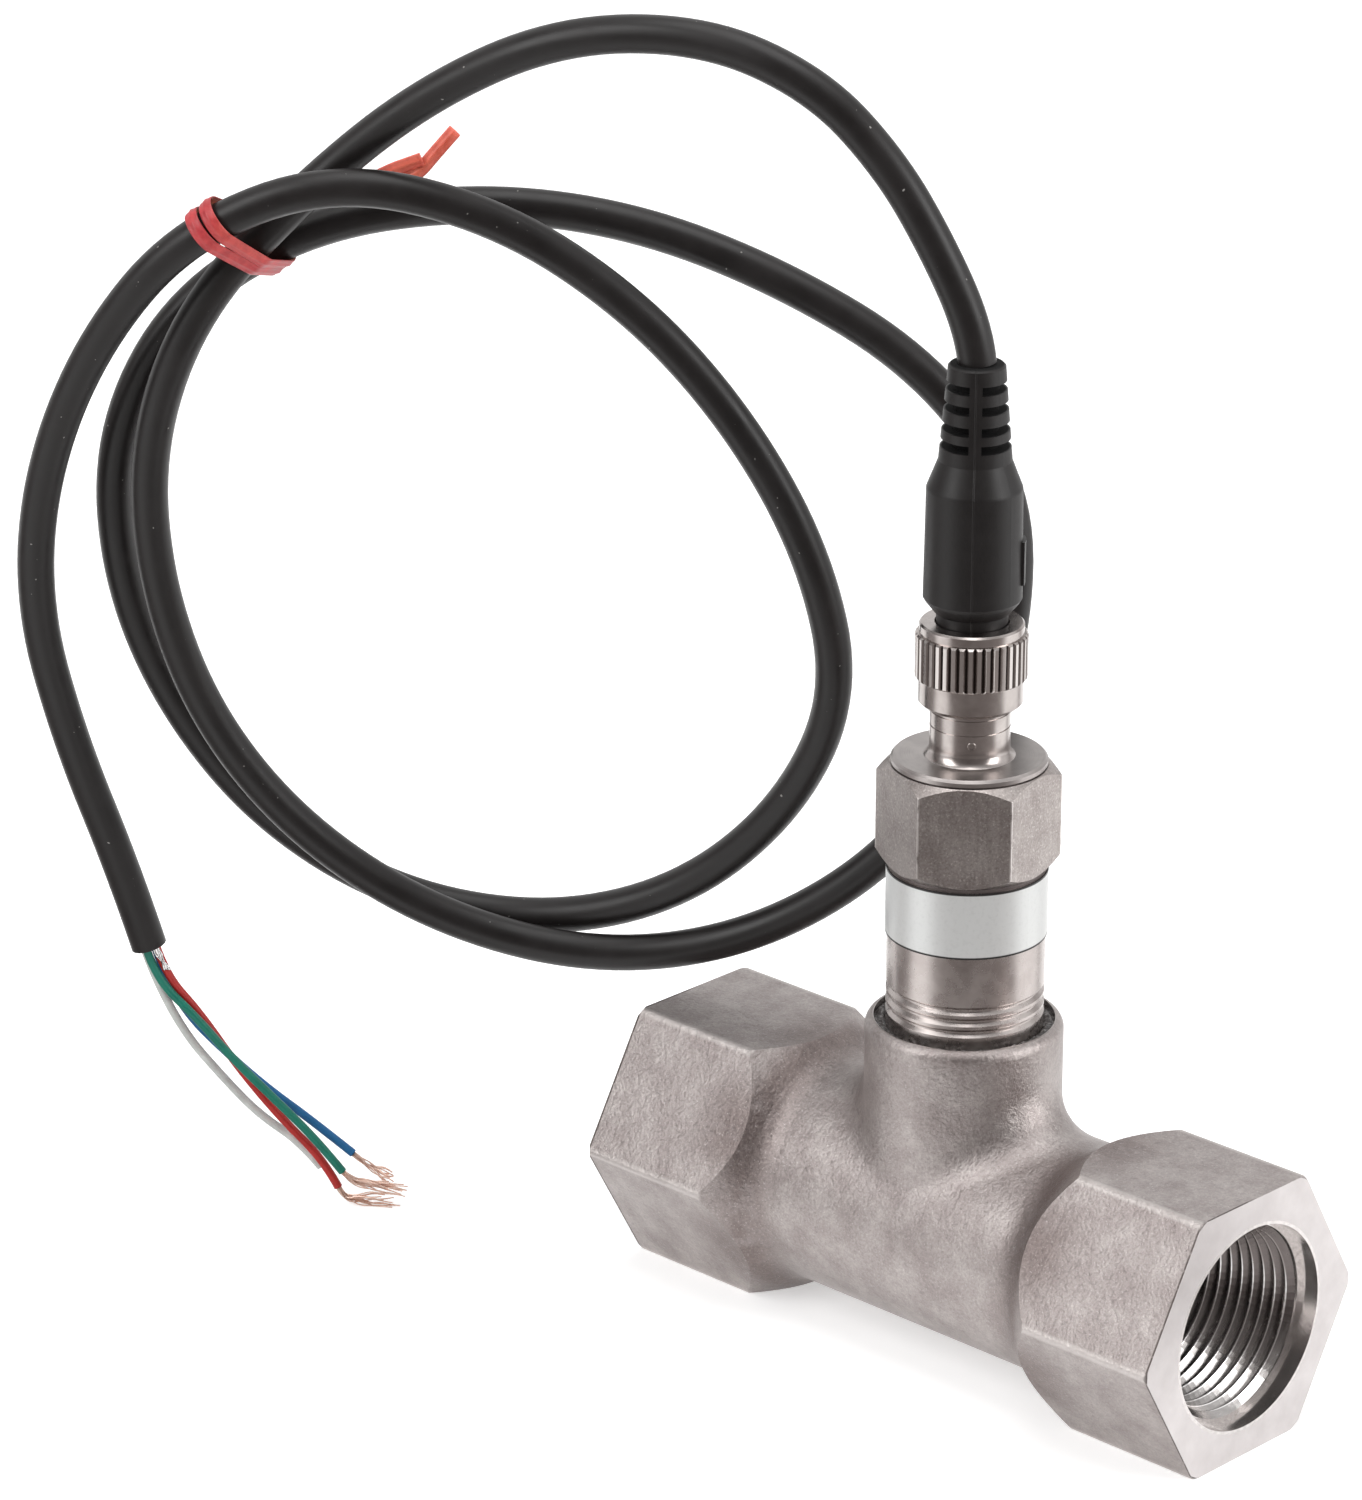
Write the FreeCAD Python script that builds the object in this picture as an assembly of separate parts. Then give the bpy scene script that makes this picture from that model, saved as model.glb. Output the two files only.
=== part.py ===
import FreeCAD, Part
import math
import os

# Thermal dispersion flow switch: a cast pipe tee with a turned sensor housing screwed into its
# branch, a plug-in cable on top held by a knurled nut, and a loose loop of cable with bare leads.
# Millimetres. +X runs along the pipe, +Z up the sensor, and the lower hex flats stand on z = 0.

V = FreeCAD.Vector
UP = V(0, 0, 1)
ALONG = V(1, 0, 0)

# Sizes that several pieces share
housing_r = 10.4            # turned sensor housing
thread_fit = 0.04           # radial gap left by every screwed fit
press_fit = 0.02            # radial gap left by every pressed fit

# Cast tee
hex_flats = 36.0            # across the flats of both pipe ends
pipe_length = 98.7          # over both end faces
hex_land = 20.3             # length of each hex along its corners
hex_edge_r = 0.7            # cast rounding of the hex's long edges
shoulder_run = 4.1          # axial run of the turned shoulder behind the hex
barrel_step = 2.2           # from the hex flats in to the round body
barrel_blend = 6.0          # cast fillet between shoulder and barrel
pipe_thread_r = 13.1        # wall of the threaded bore, at the thread's root
pipe_thread_depth = 20.0
waterway_step = 2.6         # shoulder at the end of the thread
face_recess_step = 0.8      # recess in front of the thread
face_recess_depth = 2.7
face_chamfer = 0.5
sealant_width = 1.55        # groove round the housing in the branch's mouth
boss_wall = 1.15            # branch wall outside that groove
boss_height = 46.8          # mouth plane above the standing flats
boss_blend = 6.5            # saddle fillet between branch and barrel
boss_edge = 1.5
boss_straight = 1.0         # least height of plain wall between saddle and mouth
boss_recess_depth = 4.0
sealant_drop = 0.5          # sealant below the mouth
probe_port_step = 2.4       # ledge under the housing

# Sensor housing, its heights taken from the branch's mouth
housing_screwed_in = 16.3
housing_stand = 21.2
housing_floor = 3.0
housing_thread_stand = 5.45
housing_thread_pitch = 1.55
housing_thread_depth = 0.45
housing_thread_flat = 0.24  # flat at the bottom of each groove
housing_thread_land = 0.2   # share of the pitch left between two grooves
housing_crests = 3
spigot_step = 1.6
spigot_wall = 1.2
spigot_height = 9.5
cutter_margin = 0.05        # how far a cutter stands clear of the skin it opens

# Probe
probe_r = 4.5
probe_wall = 0.7
probe_drop = 5.0            # its end below the pipe's axis
probe_end_r = 1.35
probe_flange_gap = 0.3
probe_flange = 2.0
chip_width = 1.6
chip_depth = 1.0
chip_height = 2.4
chip_spread = 3.4           # distance between the two sensing chips
filler_height = 8.0
lead_r = 0.22
lead_drop = 0.8             # straight end of each lead under its pin
lead_lap = 2.0              # length soldered to the board
lead_rise = 1.2             # above the board before each lead turns to its pin

# Electronics
board_side_gap = 0.8
board_thickness = 1.6
board_height = 36.0
component_boxes = (          # across, up from the board's foot, width, height, thickness
    (-2.6, 6.0, 4.0, 4.0, 1.2),
    (2.8, 7.0, 3.2, 2.6, 1.0),
    (0.0, 14.0, 6.4, 5.2, 1.6),
    (-3.2, 22.0, 3.0, 3.0, 2.2),
    (2.6, 22.0, 2.6, 4.6, 1.4),
    (0.0, 30.0, 5.0, 2.4, 1.1),
)

# Label band and hex cap
label_thickness = 0.2
label_height = 9.1
label_gap = 0.01
cap_gasket = 0.5
gasket_inset = 0.1
cap_overhang = 0.05         # flats of the cap past the housing
cap_height = 13.8
cap_chamfer = 0.9
cap_crown_inset = 0.1
cap_angle = 38.7            # world angle of one corner
cap_neck_step = 1.8         # from the spigot in to the connector's seat
cap_roof = 3.8
flange_gasket = 0.2
flange_gasket_inset = 0.3

# Connector on the cap
flange_inset = 0.25
flange_height = 0.9
flange_edge = 0.35
neck_base_r = 6.0
neck_r = 5.25
neck_flare = 1.6
neck_flare_sag = 0.22
neck_height = 6.9
neck_line_heights = (4.2, 6.2)   # fine turned grooves above the flange
neck_line_depth = 0.12
neck_line_width = 0.22
connector_thread_r = 5.9
connector_thread_chamfer = 0.5
connector_thread_length = 8.2
connector_wall = 1.55
carrier_gap = 0.1
pin_r = 0.5
pin_circle_r = 2.3
pin_foot = 2.0
pin_reach = 6.2
pin_nose = 0.5
pin_angles = (45.0, 135.0, 225.0, 315.0)

# Coupling nut
nut_bottom_gap = 0.1        # above the top of the neck
nut_bore_fit = 0.06
nut_wall = 0.84             # round the thread
nut_grip_step = 0.5         # knurled band past the collar
nut_chamfer = 0.55
nut_break = 0.25            # broken corners of band and rim
nut_collar_height = 3.7
nut_knurl_height = 6.1
nut_rim_height = 1.4
nut_roof = 1.3
nut_hole_r = 4.85
knurl_count = 40
knurl_depth = 0.4
knurl_duty = 0.56           # share of the pitch that a groove takes at the skin

# Plug
socket_r = 0.95
socket_gap = 0.06
socket_length = 11.5
nose_gap = 1.4              # plug's nose above the floor of the connector
socket_end_gap = 0.5        # past the pin's end
nut_play = 0.3              # collar and ring inside the nut
ring_play = 0.2
collar_height = 0.6
ring_height = 0.8
stem_r = 3.5
stem_height = 4.5
seal_gap = 0.3
seal_inset = 0.4
seal_squeeze = 0.02
mould_neck_r = 4.65
mould_neck_height = 2.8
mould_foot_step = 0.25
mould_body_r = 6.4
mould_shoulder = 2.0
mould_shoulder_edge = (0.3, 0.5)
mould_draft = 0.2
mould_body_height = 14.7
mould_body_edge = 1.0
mould_taper_r = 4.75
mould_taper_height = 3.7
mould_height = 35.9
relief_top_r = 3.7
relief_edge = 0.3
slot_places = (25.0, 27.3, 30.0, 32.6)   # foot of each slot above the foot of the mould
slot_height = 1.15
slot_floor_r = 2.9
spine_width = 1.6
spine_angle = -50.0         # world angle of the moulding's front spine
grip_mark_angle = 40.0
grip_mark_place = 6.8
grip_mark_height = 5.8
grip_mark_width = 3.0
grip_mark_proud = 0.3

# Cable and leads
cable_r = 2.5
wire_r = 0.6
bare_r = 0.35
arc_share = 0.45            # share of the shorter run that an arc takes
cable_route = [
    (0, 0, 136.1), (0, 0, 145.5), (-3.5, -1.5, 157), (-13, -6, 168.5), (-30, -14, 177),
    (-50, -24, 175.5), (-68.5, -31, 164), (-84, -38, 149.5), (-94, -48.5, 134),
    (-101.5, -51, 114), (-103, -48.5, 93), (-100, -42.5, 73), (-92.5, -32.5, 56),
    (-79.5, -20.5, 44), (-62.5, -8, 39), (-45.5, 3, 42.5), (-29, 11, 54), (-17, 17, 70.5),
    (-11, 21, 90.5), (-11.5, 21.5, 112), (-22.5, 15, 128), (-39, 5, 138.5),
    (-56.5, -5.5, 145), (-72.5, -19, 147), (-87, -34.5, 144), (-101, -45, 132.5),
    (-110, -49.5, 113.5), (-112.5, -47, 92.5), (-110, -40.5, 73), (-102, -31, 55.5),
    (-88.5, -19, 44), (-71, -7, 41.5), (-53, 1.5, 48.5), (-38, 6.5, 63.5),
    (-28.5, 7, 82.5), (-29.5, 2, 103), (-36.5, -5.5, 122), (-47, -14.5, 137.5),
    (-60.5, -26, 149), (-75, -41, 154), (-91, -52.5, 145.5), (-104, -57.5, 129),
    (-113, -59.5, 109.5), (-117, -58.5, 89.5), (-116.5, -53, 68.5), (-113.5, -47, 49),
    (-111.5, -44.5, 37.5),
]
# Each lead starts at its place in the jacket's end, across and behind, and then follows its own
# points down to the floor.
lead_across = V(0.72, 0.694, 0)
lead_behind = V(-0.694, 0.72, 0)
lead_stub = 5.0
lead_starts = {"grey": (-0.85, 0.6), "green": (-0.35, -0.85), "blue": (0.5, 0.95), "red": (0.95, -0.35)}
lead_routes = {
    "grey": [(-109, -40.5, 23.5), (-105, -37.5, 17.5), (-101, -34.5, 12), (-96, -31, 8),
             (-93.5, -29.5, 4.5)],
    "green": [(-105.5, -41.5, 27.5), (-101.5, -38.5, 21.5), (-96.5, -35, 15.5), (-91.5, -32, 10),
              (-88.5, -30, 5.5)],
    "blue": [(-109.5, -39.5, 26), (-106, -36, 20.5), (-100.5, -33, 15.5), (-95, -30, 11.5),
             (-89.5, -27, 7)],
    "red": [(-106.5, -40, 27.5), (-102, -37, 19.5), (-97, -33.5, 12), (-92, -30.5, 6.5),
            (-90, -29.5, 2.5)],
}
bare_stub = 1.8
bare_routes = {
    "green": [(-84.7, -26.5, 3.5), (-81.6, -23.5, 2.4)],
    "blue": [(-86.2, -24.9, 4.3), (-83.8, -23.3, 3.4)],
    "red": [(-87.6, -28.2, 1.0), (-85.3, -26.2, 0.8), (-82.5, -24, 0.7)],
}

# Tie round the three strands of the loop, given by the middle of each strand
tie_strands = [(-89.5, -51.1, 145.5), (-89.9, -44.2, 140.4), (-92.8, -38.8, 139.2)]
tie_gap = 0.65
tie_thickness = 0.5
tie_width = 3.4


def cylinder(radius, z0, z1, at=(0.0, 0.0)):
    return Part.makeCylinder(radius, z1 - z0, V(at[0], at[1], z0), UP)


def ring(outer, inner, z0, z1):
    return cylinder(outer, z0, z1).cut(cylinder(inner, z0, z1))


def revolved(profile):
    """Solid of revolution about Z from (radius, height) corners."""
    wire = Part.makePolygon([V(r, 0, z) for r, z in profile + profile[:1]])
    return Part.Face(wire).revolve(V(0, 0, 0), UP, 360)


def hexagon(flats, turn=0.0):
    """Corners of a hexagon about the origin of a plane, the first at the turn angle."""
    corner = flats / math.sqrt(3)
    angles = [math.radians(turn + 60 * k) for k in range(6)]
    return [(corner * math.cos(a), corner * math.sin(a)) for a in angles]


def pipe_cylinder(radius, x0, x1):
    return Part.makeCylinder(radius, x1 - x0, V(x0, 0, pipe_axis), ALONG)


pipe_axis = hex_flats / 2
half_pipe = pipe_length / 2
hex_corner = hex_flats / math.sqrt(3)
barrel_r = hex_flats / 2 - barrel_step
waterway_r = pipe_thread_r - waterway_step
boss_recess_r = housing_r + sealant_width
boss_r = boss_recess_r + boss_wall


def hex_bar():
    """Hexagonal bar over the whole pipe, its long edges rounded as cast."""
    points = [V(-half_pipe, a, pipe_axis + b) for a, b in hexagon(hex_flats)]
    bar = Part.Face(Part.makePolygon(points + points[:1])).extrude(ALONG * pipe_length)
    long_edges = [e for e in bar.Edges if e.BoundBox.XLength > half_pipe]
    return bar.makeFillet(hex_edge_r, long_edges)


def tee_turned():
    """Turned envelope of the pipe: a barrel that flares through a fillet into a cone at each end."""
    slope = (hex_corner - hex_flats / 2) / shoulder_run
    lean = math.atan(slope)
    shoulder_x = half_pipe - hex_land
    seam_x = shoulder_x - (hex_corner - barrel_r) / slope
    reach = barrel_blend * math.tan(lean / 2)
    start = (seam_x - reach, barrel_r)
    middle = (start[0] + barrel_blend * math.sin(lean / 2),
              barrel_r + barrel_blend * (1 - math.cos(lean / 2)))
    end = (seam_x + reach * math.cos(lean), barrel_r + reach * math.sin(lean))
    crown_r = hex_corner - face_chamfer
    right = [start, middle, end, (shoulder_x, hex_corner), (half_pipe - face_chamfer, hex_corner),
             (half_pipe, crown_r), (half_pipe, 0)]
    left = [(-x, r) for x, r in right]
    a = [V(x, 0, pipe_axis + r) for x, r in right]
    b = [V(x, 0, pipe_axis + r) for x, r in left]
    edges = [Part.makeLine(b[0], a[0])]
    for side in (a, b):
        edges.append(Part.Arc(side[0], side[1], side[2]).toShape())
        edges += [Part.makeLine(p, q) for p, q in zip(side[2:], side[3:])]
    edges.append(Part.makeLine(a[-1], b[-1]))
    profile = Part.Wire(Part.sortEdges(edges)[0])
    return Part.Face(profile).revolve(V(0, 0, pipe_axis), ALONG, 360)


def tee_branch():
    """Branch boss on a stretch of barrel, joined by a saddle fillet no larger than its wall allows."""
    room = boss_height - boss_edge - boss_straight - pipe_axis - barrel_r
    saddle_r = min(boss_blend, room)
    stub = boss_r + saddle_r + cutter_margin
    crossing = pipe_cylinder(barrel_r, -stub, stub).fuse(cylinder(boss_r, pipe_axis, boss_height))
    crossing = crossing.removeSplitter()
    crossing = crossing.makeFillet(saddle_r, [e for e in crossing.Edges if is_boss_seam(e)])
    mouth = [e for e in crossing.Edges if on_plane(e, boss_height)]
    return crossing.makeFillet(boss_edge, mouth)


def tee_outside():
    return tee_turned().common(hex_bar()).fuse(tee_branch()).removeSplitter()


def on_plane(edge, height):
    return all(abs(v.Z - height) < 1e-6 for v in edge.Vertexes) and abs(edge.BoundBox.ZLength) < 1e-6


def is_boss_seam(edge):
    """The saddle curve where the boss meets the barrel."""
    box = edge.BoundBox
    return box.ZMin > pipe_axis + 1 and box.ZMax < pipe_axis + barrel_r + 1 and box.ZLength > 1


def tee_body():
    body = tee_outside()
    body = body.cut(pipe_cylinder(waterway_r, -half_pipe, half_pipe))
    for side in (-1, 1):
        outer = side * half_pipe
        for step, depth in ((0, pipe_thread_depth), (face_recess_step, face_recess_depth)):
            inner = side * (half_pipe - depth)
            body = body.cut(pipe_cylinder(pipe_thread_r + step, min(outer, inner), max(outer, inner)))
    body = body.cut(cylinder(housing_r - probe_port_step, pipe_axis, housing_bottom))
    body = body.cut(cylinder(housing_r + thread_fit, housing_bottom, boss_height))
    return body.cut(cylinder(boss_recess_r, boss_height - boss_recess_depth, boss_height))


housing_bottom = boss_height - housing_screwed_in
housing_top = boss_height + housing_stand
spigot_r = housing_r - spigot_step
housing_bore_r = spigot_r - spigot_wall
probe_end_z = pipe_axis - probe_drop


def thread_sealant():
    return ring(boss_recess_r - press_fit, housing_r + press_fit,
                boss_height - boss_recess_depth, boss_height - sealant_drop)


def sensor_housing():
    body = cylinder(housing_r, housing_bottom, housing_top)
    body = body.fuse(cylinder(spigot_r, housing_top, housing_top + spigot_height))
    top = housing_top + spigot_height
    body = body.cut(cylinder(housing_bore_r, housing_bottom + housing_floor, top))
    body = body.cut(cylinder(probe_r + press_fit, housing_bottom, housing_bottom + housing_floor))
    root_r = housing_r - housing_thread_depth
    mouth_r = housing_r + cutter_margin
    floor = housing_thread_flat / 2
    half = housing_thread_pitch * (1 - housing_thread_land) / 2
    for k in range(housing_crests):
        middle = boss_height + housing_thread_stand - (k + 0.5) * housing_thread_pitch
        body = body.cut(revolved([(root_r, middle - floor), (root_r, middle + floor),
                                  (mouth_r, middle + half), (mouth_r, middle - half)]))
    return body


def probe_tip():
    seat = housing_bottom + housing_floor
    body = cylinder(probe_r, probe_end_z, seat + probe_flange)
    body = body.fuse(cylinder(housing_bore_r - probe_flange_gap, seat, seat + probe_flange))
    end = [e for e in body.Edges if on_plane(e, probe_end_z)]
    body = body.makeFillet(probe_end_r, end)
    return body.cut(cylinder(probe_r - probe_wall, probe_end_z + probe_wall, seat + probe_flange))


def chip_box(side):
    x = side * chip_spread / 2 - chip_width / 2
    z = probe_end_z + 2 * probe_wall
    return Part.makeBox(chip_width, chip_depth, chip_height, V(x, -chip_depth / 2, z))


def lead_places():
    """Two leads above each chip, side by side."""
    spots = []
    for side in (-1, 1):
        for step in (-1, 1):
            spots.append((side * chip_spread / 2 + step * chip_width / 4, 0.0))
    return spots


def board_foot():
    return housing_bottom + housing_floor + probe_flange


def sensor_leads():
    foot = probe_end_z + 2 * probe_wall + chip_height
    rods = [cylinder(lead_r, foot, board_foot(), spot) for spot in lead_places()]
    return Part.makeCompound(rods)


def probe_filler():
    foot = probe_end_z + probe_wall
    body = cylinder(probe_r - probe_wall - press_fit, foot, foot + filler_height)
    for side in (-1, 1):
        body = body.cut(chip_box(side))
    for spot in lead_places():
        body = body.cut(cylinder(lead_r, foot + chip_height, foot + filler_height, spot))
    return body


def circuit_board():
    board_width = 2 * (housing_bore_r - board_side_gap)
    corner = V(-board_width / 2, -board_thickness / 2, board_foot())
    return Part.makeBox(board_width, board_thickness, board_height, corner)


def board_components():
    blocks = []
    for across, up, width, height, thickness in component_boxes:
        corner = V(across - width / 2, board_thickness / 2, board_foot() + up - height / 2)
        blocks.append(Part.makeBox(width, thickness, height, corner))
    return Part.makeCompound(blocks)


def label_band():
    inner = housing_r + label_gap
    return ring(inner + label_thickness, inner, housing_top - label_height, housing_top)


cap_foot = housing_top + cap_gasket
cap_top = cap_foot + cap_height
flange_foot = cap_top + flange_gasket
neck_foot = flange_foot + flange_height
neck_top = neck_foot + neck_height
thread_top = neck_top + connector_thread_length
cap_neck_r = spigot_r - cap_neck_step
cap_flats = 2 * (housing_r + cap_overhang)
flange_r = cap_flats / 2 - flange_inset


def cap_seal_ring():
    return ring(housing_r - gasket_inset, spigot_r + press_fit, housing_top, cap_foot)


def hex_cap():
    corner = cap_flats / math.sqrt(3)
    points = [V(x, y, cap_foot) for x, y in hexagon(cap_flats, cap_angle)]
    prism = Part.Face(Part.makePolygon(points + points[:1])).extrude(UP * cap_height)
    flat_r = cap_flats / 2
    drop = cap_chamfer * (corner - flat_r)
    crown_r = flat_r - cap_crown_inset
    turned = revolved([(0, cap_foot), (crown_r, cap_foot), (corner, cap_foot + drop),
                       (corner, cap_top - drop), (crown_r, cap_top), (0, cap_top)])
    body = prism.common(turned)
    body = body.cut(cylinder(spigot_r + thread_fit, cap_foot, cap_top - cap_roof))
    return body.cut(cylinder(cap_neck_r + thread_fit, cap_foot, cap_top))


def connector_seal_ring():
    return ring(flange_r - flange_gasket_inset, cap_neck_r + thread_fit, cap_top, flange_foot)


def connector_shell():
    """Turned socket: flange, flared neck with two fine lines, and the threaded mouth."""
    spigot_foot = cap_top - cap_roof
    below = [(0, spigot_foot), (cap_neck_r, spigot_foot), (cap_neck_r, flange_foot),
             (flange_r, flange_foot), (flange_r, neck_foot - flange_edge),
             (flange_r - flange_edge, neck_foot), (neck_base_r, neck_foot)]
    above = [(neck_r, neck_foot + neck_flare), (neck_r, neck_top),
             (connector_thread_r, neck_top + connector_thread_chamfer),
             (connector_thread_r, thread_top), (0, thread_top), (0, spigot_foot)]
    edges = line_edges(below) + [flare_arc()] + line_edges(above)
    body = Part.Face(Part.Wire(edges)).revolve(V(0, 0, 0), UP, 360)
    for height in neck_line_heights:
        z = neck_foot + height
        body = body.cut(ring(neck_r + cutter_margin, neck_r - neck_line_depth, z, z + neck_line_width))
    return body.cut(cylinder(connector_cavity_r, spigot_foot, thread_top))


def line_edges(corners):
    """Straight edges through (radius, height) corners."""
    points = [V(r, 0, z) for r, z in corners]
    return [Part.makeLine(a, b) for a, b in zip(points, points[1:])]


def flare_arc():
    """Concave flare from the neck's base to its straight part."""
    start = V(neck_base_r, 0, neck_foot)
    end = V(neck_r, 0, neck_foot + neck_flare)
    inward = V(-neck_flare, 0, neck_r - neck_base_r).normalize() * neck_flare_sag
    return Part.Arc(start, (start + end) / 2 + inward, end).toShape()


connector_cavity_r = connector_thread_r - connector_wall
carrier_r = connector_cavity_r - carrier_gap


def pin_places():
    angles = [math.radians(a) for a in pin_angles]
    return [(pin_circle_r * math.cos(a), pin_circle_r * math.sin(a)) for a in angles]


def pin_carrier():
    body = cylinder(connector_cavity_r - press_fit, cap_top - cap_roof, neck_top)
    for spot in pin_places():
        body = body.cut(cylinder(pin_r + press_fit, cap_top - cap_roof, neck_top, spot))
    return body


def contact_pin(spot):
    top = neck_top + pin_reach
    shoulder = top - pin_nose
    body = cylinder(pin_r, cap_top - cap_roof - pin_foot, shoulder, spot)
    nose = Part.makeCone(pin_r, pin_r / 2, pin_nose, V(spot[0], spot[1], shoulder), UP)
    return body.fuse(nose)


def board_leads():
    """Four wires from the board's head up to the pins."""
    head = board_foot() + board_height
    foot = cap_top - cap_roof - pin_foot
    rods = []
    for x, y in pin_places():
        start = V(x, math.copysign(board_thickness / 2 + lead_r, y), head - lead_lap)
        knee = V(start.x, start.y, head + lead_rise)
        end = V(x, y, foot)
        rods.append(bent_rod([start, knee, end - UP * lead_drop, end], lead_r))
    return Part.makeCompound(rods)


def bent_rod(points, radius):
    """Straight rods joined by balls, for short stiff wires."""
    solids = []
    for a, b in zip(points, points[1:]):
        run = b - a
        solids.append(Part.makeCylinder(radius, run.Length, a, run))
    for p in points[1:-1]:
        solids.append(Part.makeSphere(radius, p))
    body = solids[0]
    for s in solids[1:]:
        body = body.fuse(s)
    return body.removeSplitter()


nut_foot = neck_top + nut_bottom_gap
nut_collar_top = nut_foot + nut_collar_height
nut_knurl_top = nut_collar_top + nut_knurl_height
nut_top = nut_knurl_top + nut_rim_height
nut_bore_r = connector_thread_r + nut_bore_fit
nut_collar_r = nut_bore_r + nut_wall
nut_knurl_r = nut_collar_r + nut_grip_step


def coupling_nut():
    body = revolved([
        (0, nut_foot), (nut_collar_r - nut_chamfer, nut_foot), (nut_collar_r, nut_foot + nut_chamfer),
        (nut_collar_r, nut_collar_top), (nut_knurl_r - nut_break, nut_collar_top),
        (nut_knurl_r, nut_collar_top + nut_break), (nut_knurl_r, nut_knurl_top - nut_break),
        (nut_knurl_r - nut_break, nut_knurl_top), (nut_collar_r, nut_knurl_top),
        (nut_collar_r, nut_top - nut_break), (nut_collar_r - nut_break, nut_top), (0, nut_top)])
    body = body.cut(cylinder(nut_bore_r, nut_foot, nut_top - nut_roof))
    body = body.cut(cylinder(nut_hole_r, nut_foot, nut_top))
    return body.cut(Part.makeCompound(knurl_grooves()))


def knurl_grooves():
    """Straight V grooves round the grip, each a three-sided prism."""
    outer_r = nut_knurl_r + cutter_margin
    widen = 1 + cutter_margin / knurl_depth
    half = math.pi / knurl_count * knurl_duty * widen
    grooves = []
    for k in range(knurl_count):
        a = 2 * math.pi * k / knurl_count
        corners = [(nut_knurl_r - knurl_depth, a), (outer_r, a - half), (outer_r, a + half)]
        points = [V(r * math.cos(t), r * math.sin(t), nut_collar_top) for r, t in corners]
        wire = Part.makePolygon(points + points[:1])
        grooves.append(Part.Face(wire).extrude(UP * nut_knurl_height))
    return grooves


collar_foot = thread_top + seal_gap
ring_foot = collar_foot + collar_height
mould_foot = ring_foot + ring_height
nose_foot = neck_top + nose_gap
collar_r = nut_bore_r - nut_play - cutter_margin
ring_r = nut_bore_r - ring_play - cutter_margin


def socket_carrier():
    body = cylinder(carrier_r, nose_foot, collar_foot)
    body = body.fuse(cylinder(collar_r, collar_foot, ring_foot))
    body = body.fuse(cylinder(stem_r, ring_foot, mould_foot + stem_height))
    for spot in pin_places():
        top = nose_foot + socket_length
        body = body.cut(cylinder(socket_r + press_fit, nose_foot, top, spot))
    return body


def contact_socket(spot):
    body = cylinder(socket_r, nose_foot, nose_foot + socket_length, spot)
    depth = pin_reach + neck_top - nose_foot + socket_end_gap
    return body.cut(cylinder(pin_r + socket_gap, nose_foot, nose_foot + depth, spot))


def nut_retaining_ring():
    return ring(ring_r, stem_r + press_fit, ring_foot, mould_foot)


def mould_turned_form():
    neck_top_z = mould_foot + mould_neck_height
    shoulder_z = neck_top_z + mould_shoulder
    body_top = shoulder_z + mould_body_height
    taper_top = body_top + mould_taper_height
    top = mould_foot + mould_height
    edge_in, edge_down = mould_shoulder_edge
    body = revolved([
        (0, mould_foot), (mould_neck_r, mould_foot), (mould_neck_r, neck_top_z),
        (mould_neck_r + mould_foot_step, neck_top_z),
        (mould_body_r - edge_in, shoulder_z - edge_down),
        (mould_body_r, shoulder_z), (mould_body_r - mould_draft, body_top),
        (mould_taper_r, taper_top), (relief_top_r, top - relief_edge),
        (relief_top_r - relief_edge, top), (0, top)])
    rounded = [e for e in body.Edges if on_plane(e, body_top)]
    return body.makeFillet(mould_body_edge, rounded)


def relief_slot(z):
    """A ring slot with two bridges left at the spines."""
    slot = ring(mould_body_r, slot_floor_r, z, z + slot_height)
    bridge = Part.makeBox(4 * mould_body_r, spine_width, slot_height,
                          V(-2 * mould_body_r, -spine_width / 2, z))
    bridge.rotate(V(0, 0, 0), UP, spine_angle)
    return slot.cut(bridge)


def grip_mark():
    """Raised pad on the side of the plug that shows which way round it goes."""
    depth = mould_body_r + grip_mark_proud
    foot = mould_foot + grip_mark_place
    pad = Part.makeBox(depth, grip_mark_width, grip_mark_height, V(0, -grip_mark_width / 2, foot))
    pad = pad.common(cylinder(depth, foot, foot + grip_mark_height))
    pad.rotate(V(0, 0, 0), UP, grip_mark_angle)
    return pad


def plug_overmould():
    body = mould_turned_form().fuse(grip_mark())
    for place in slot_places:
        body = body.cut(relief_slot(mould_foot + place))
    return body.cut(cylinder(stem_r + press_fit, mould_foot, mould_foot + stem_height))


def face_seal():
    """Flat rubber ring under the plug's collar."""
    return ring(connector_thread_r - seal_inset, carrier_r + press_fit,
                thread_top + seal_squeeze, collar_foot)


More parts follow.
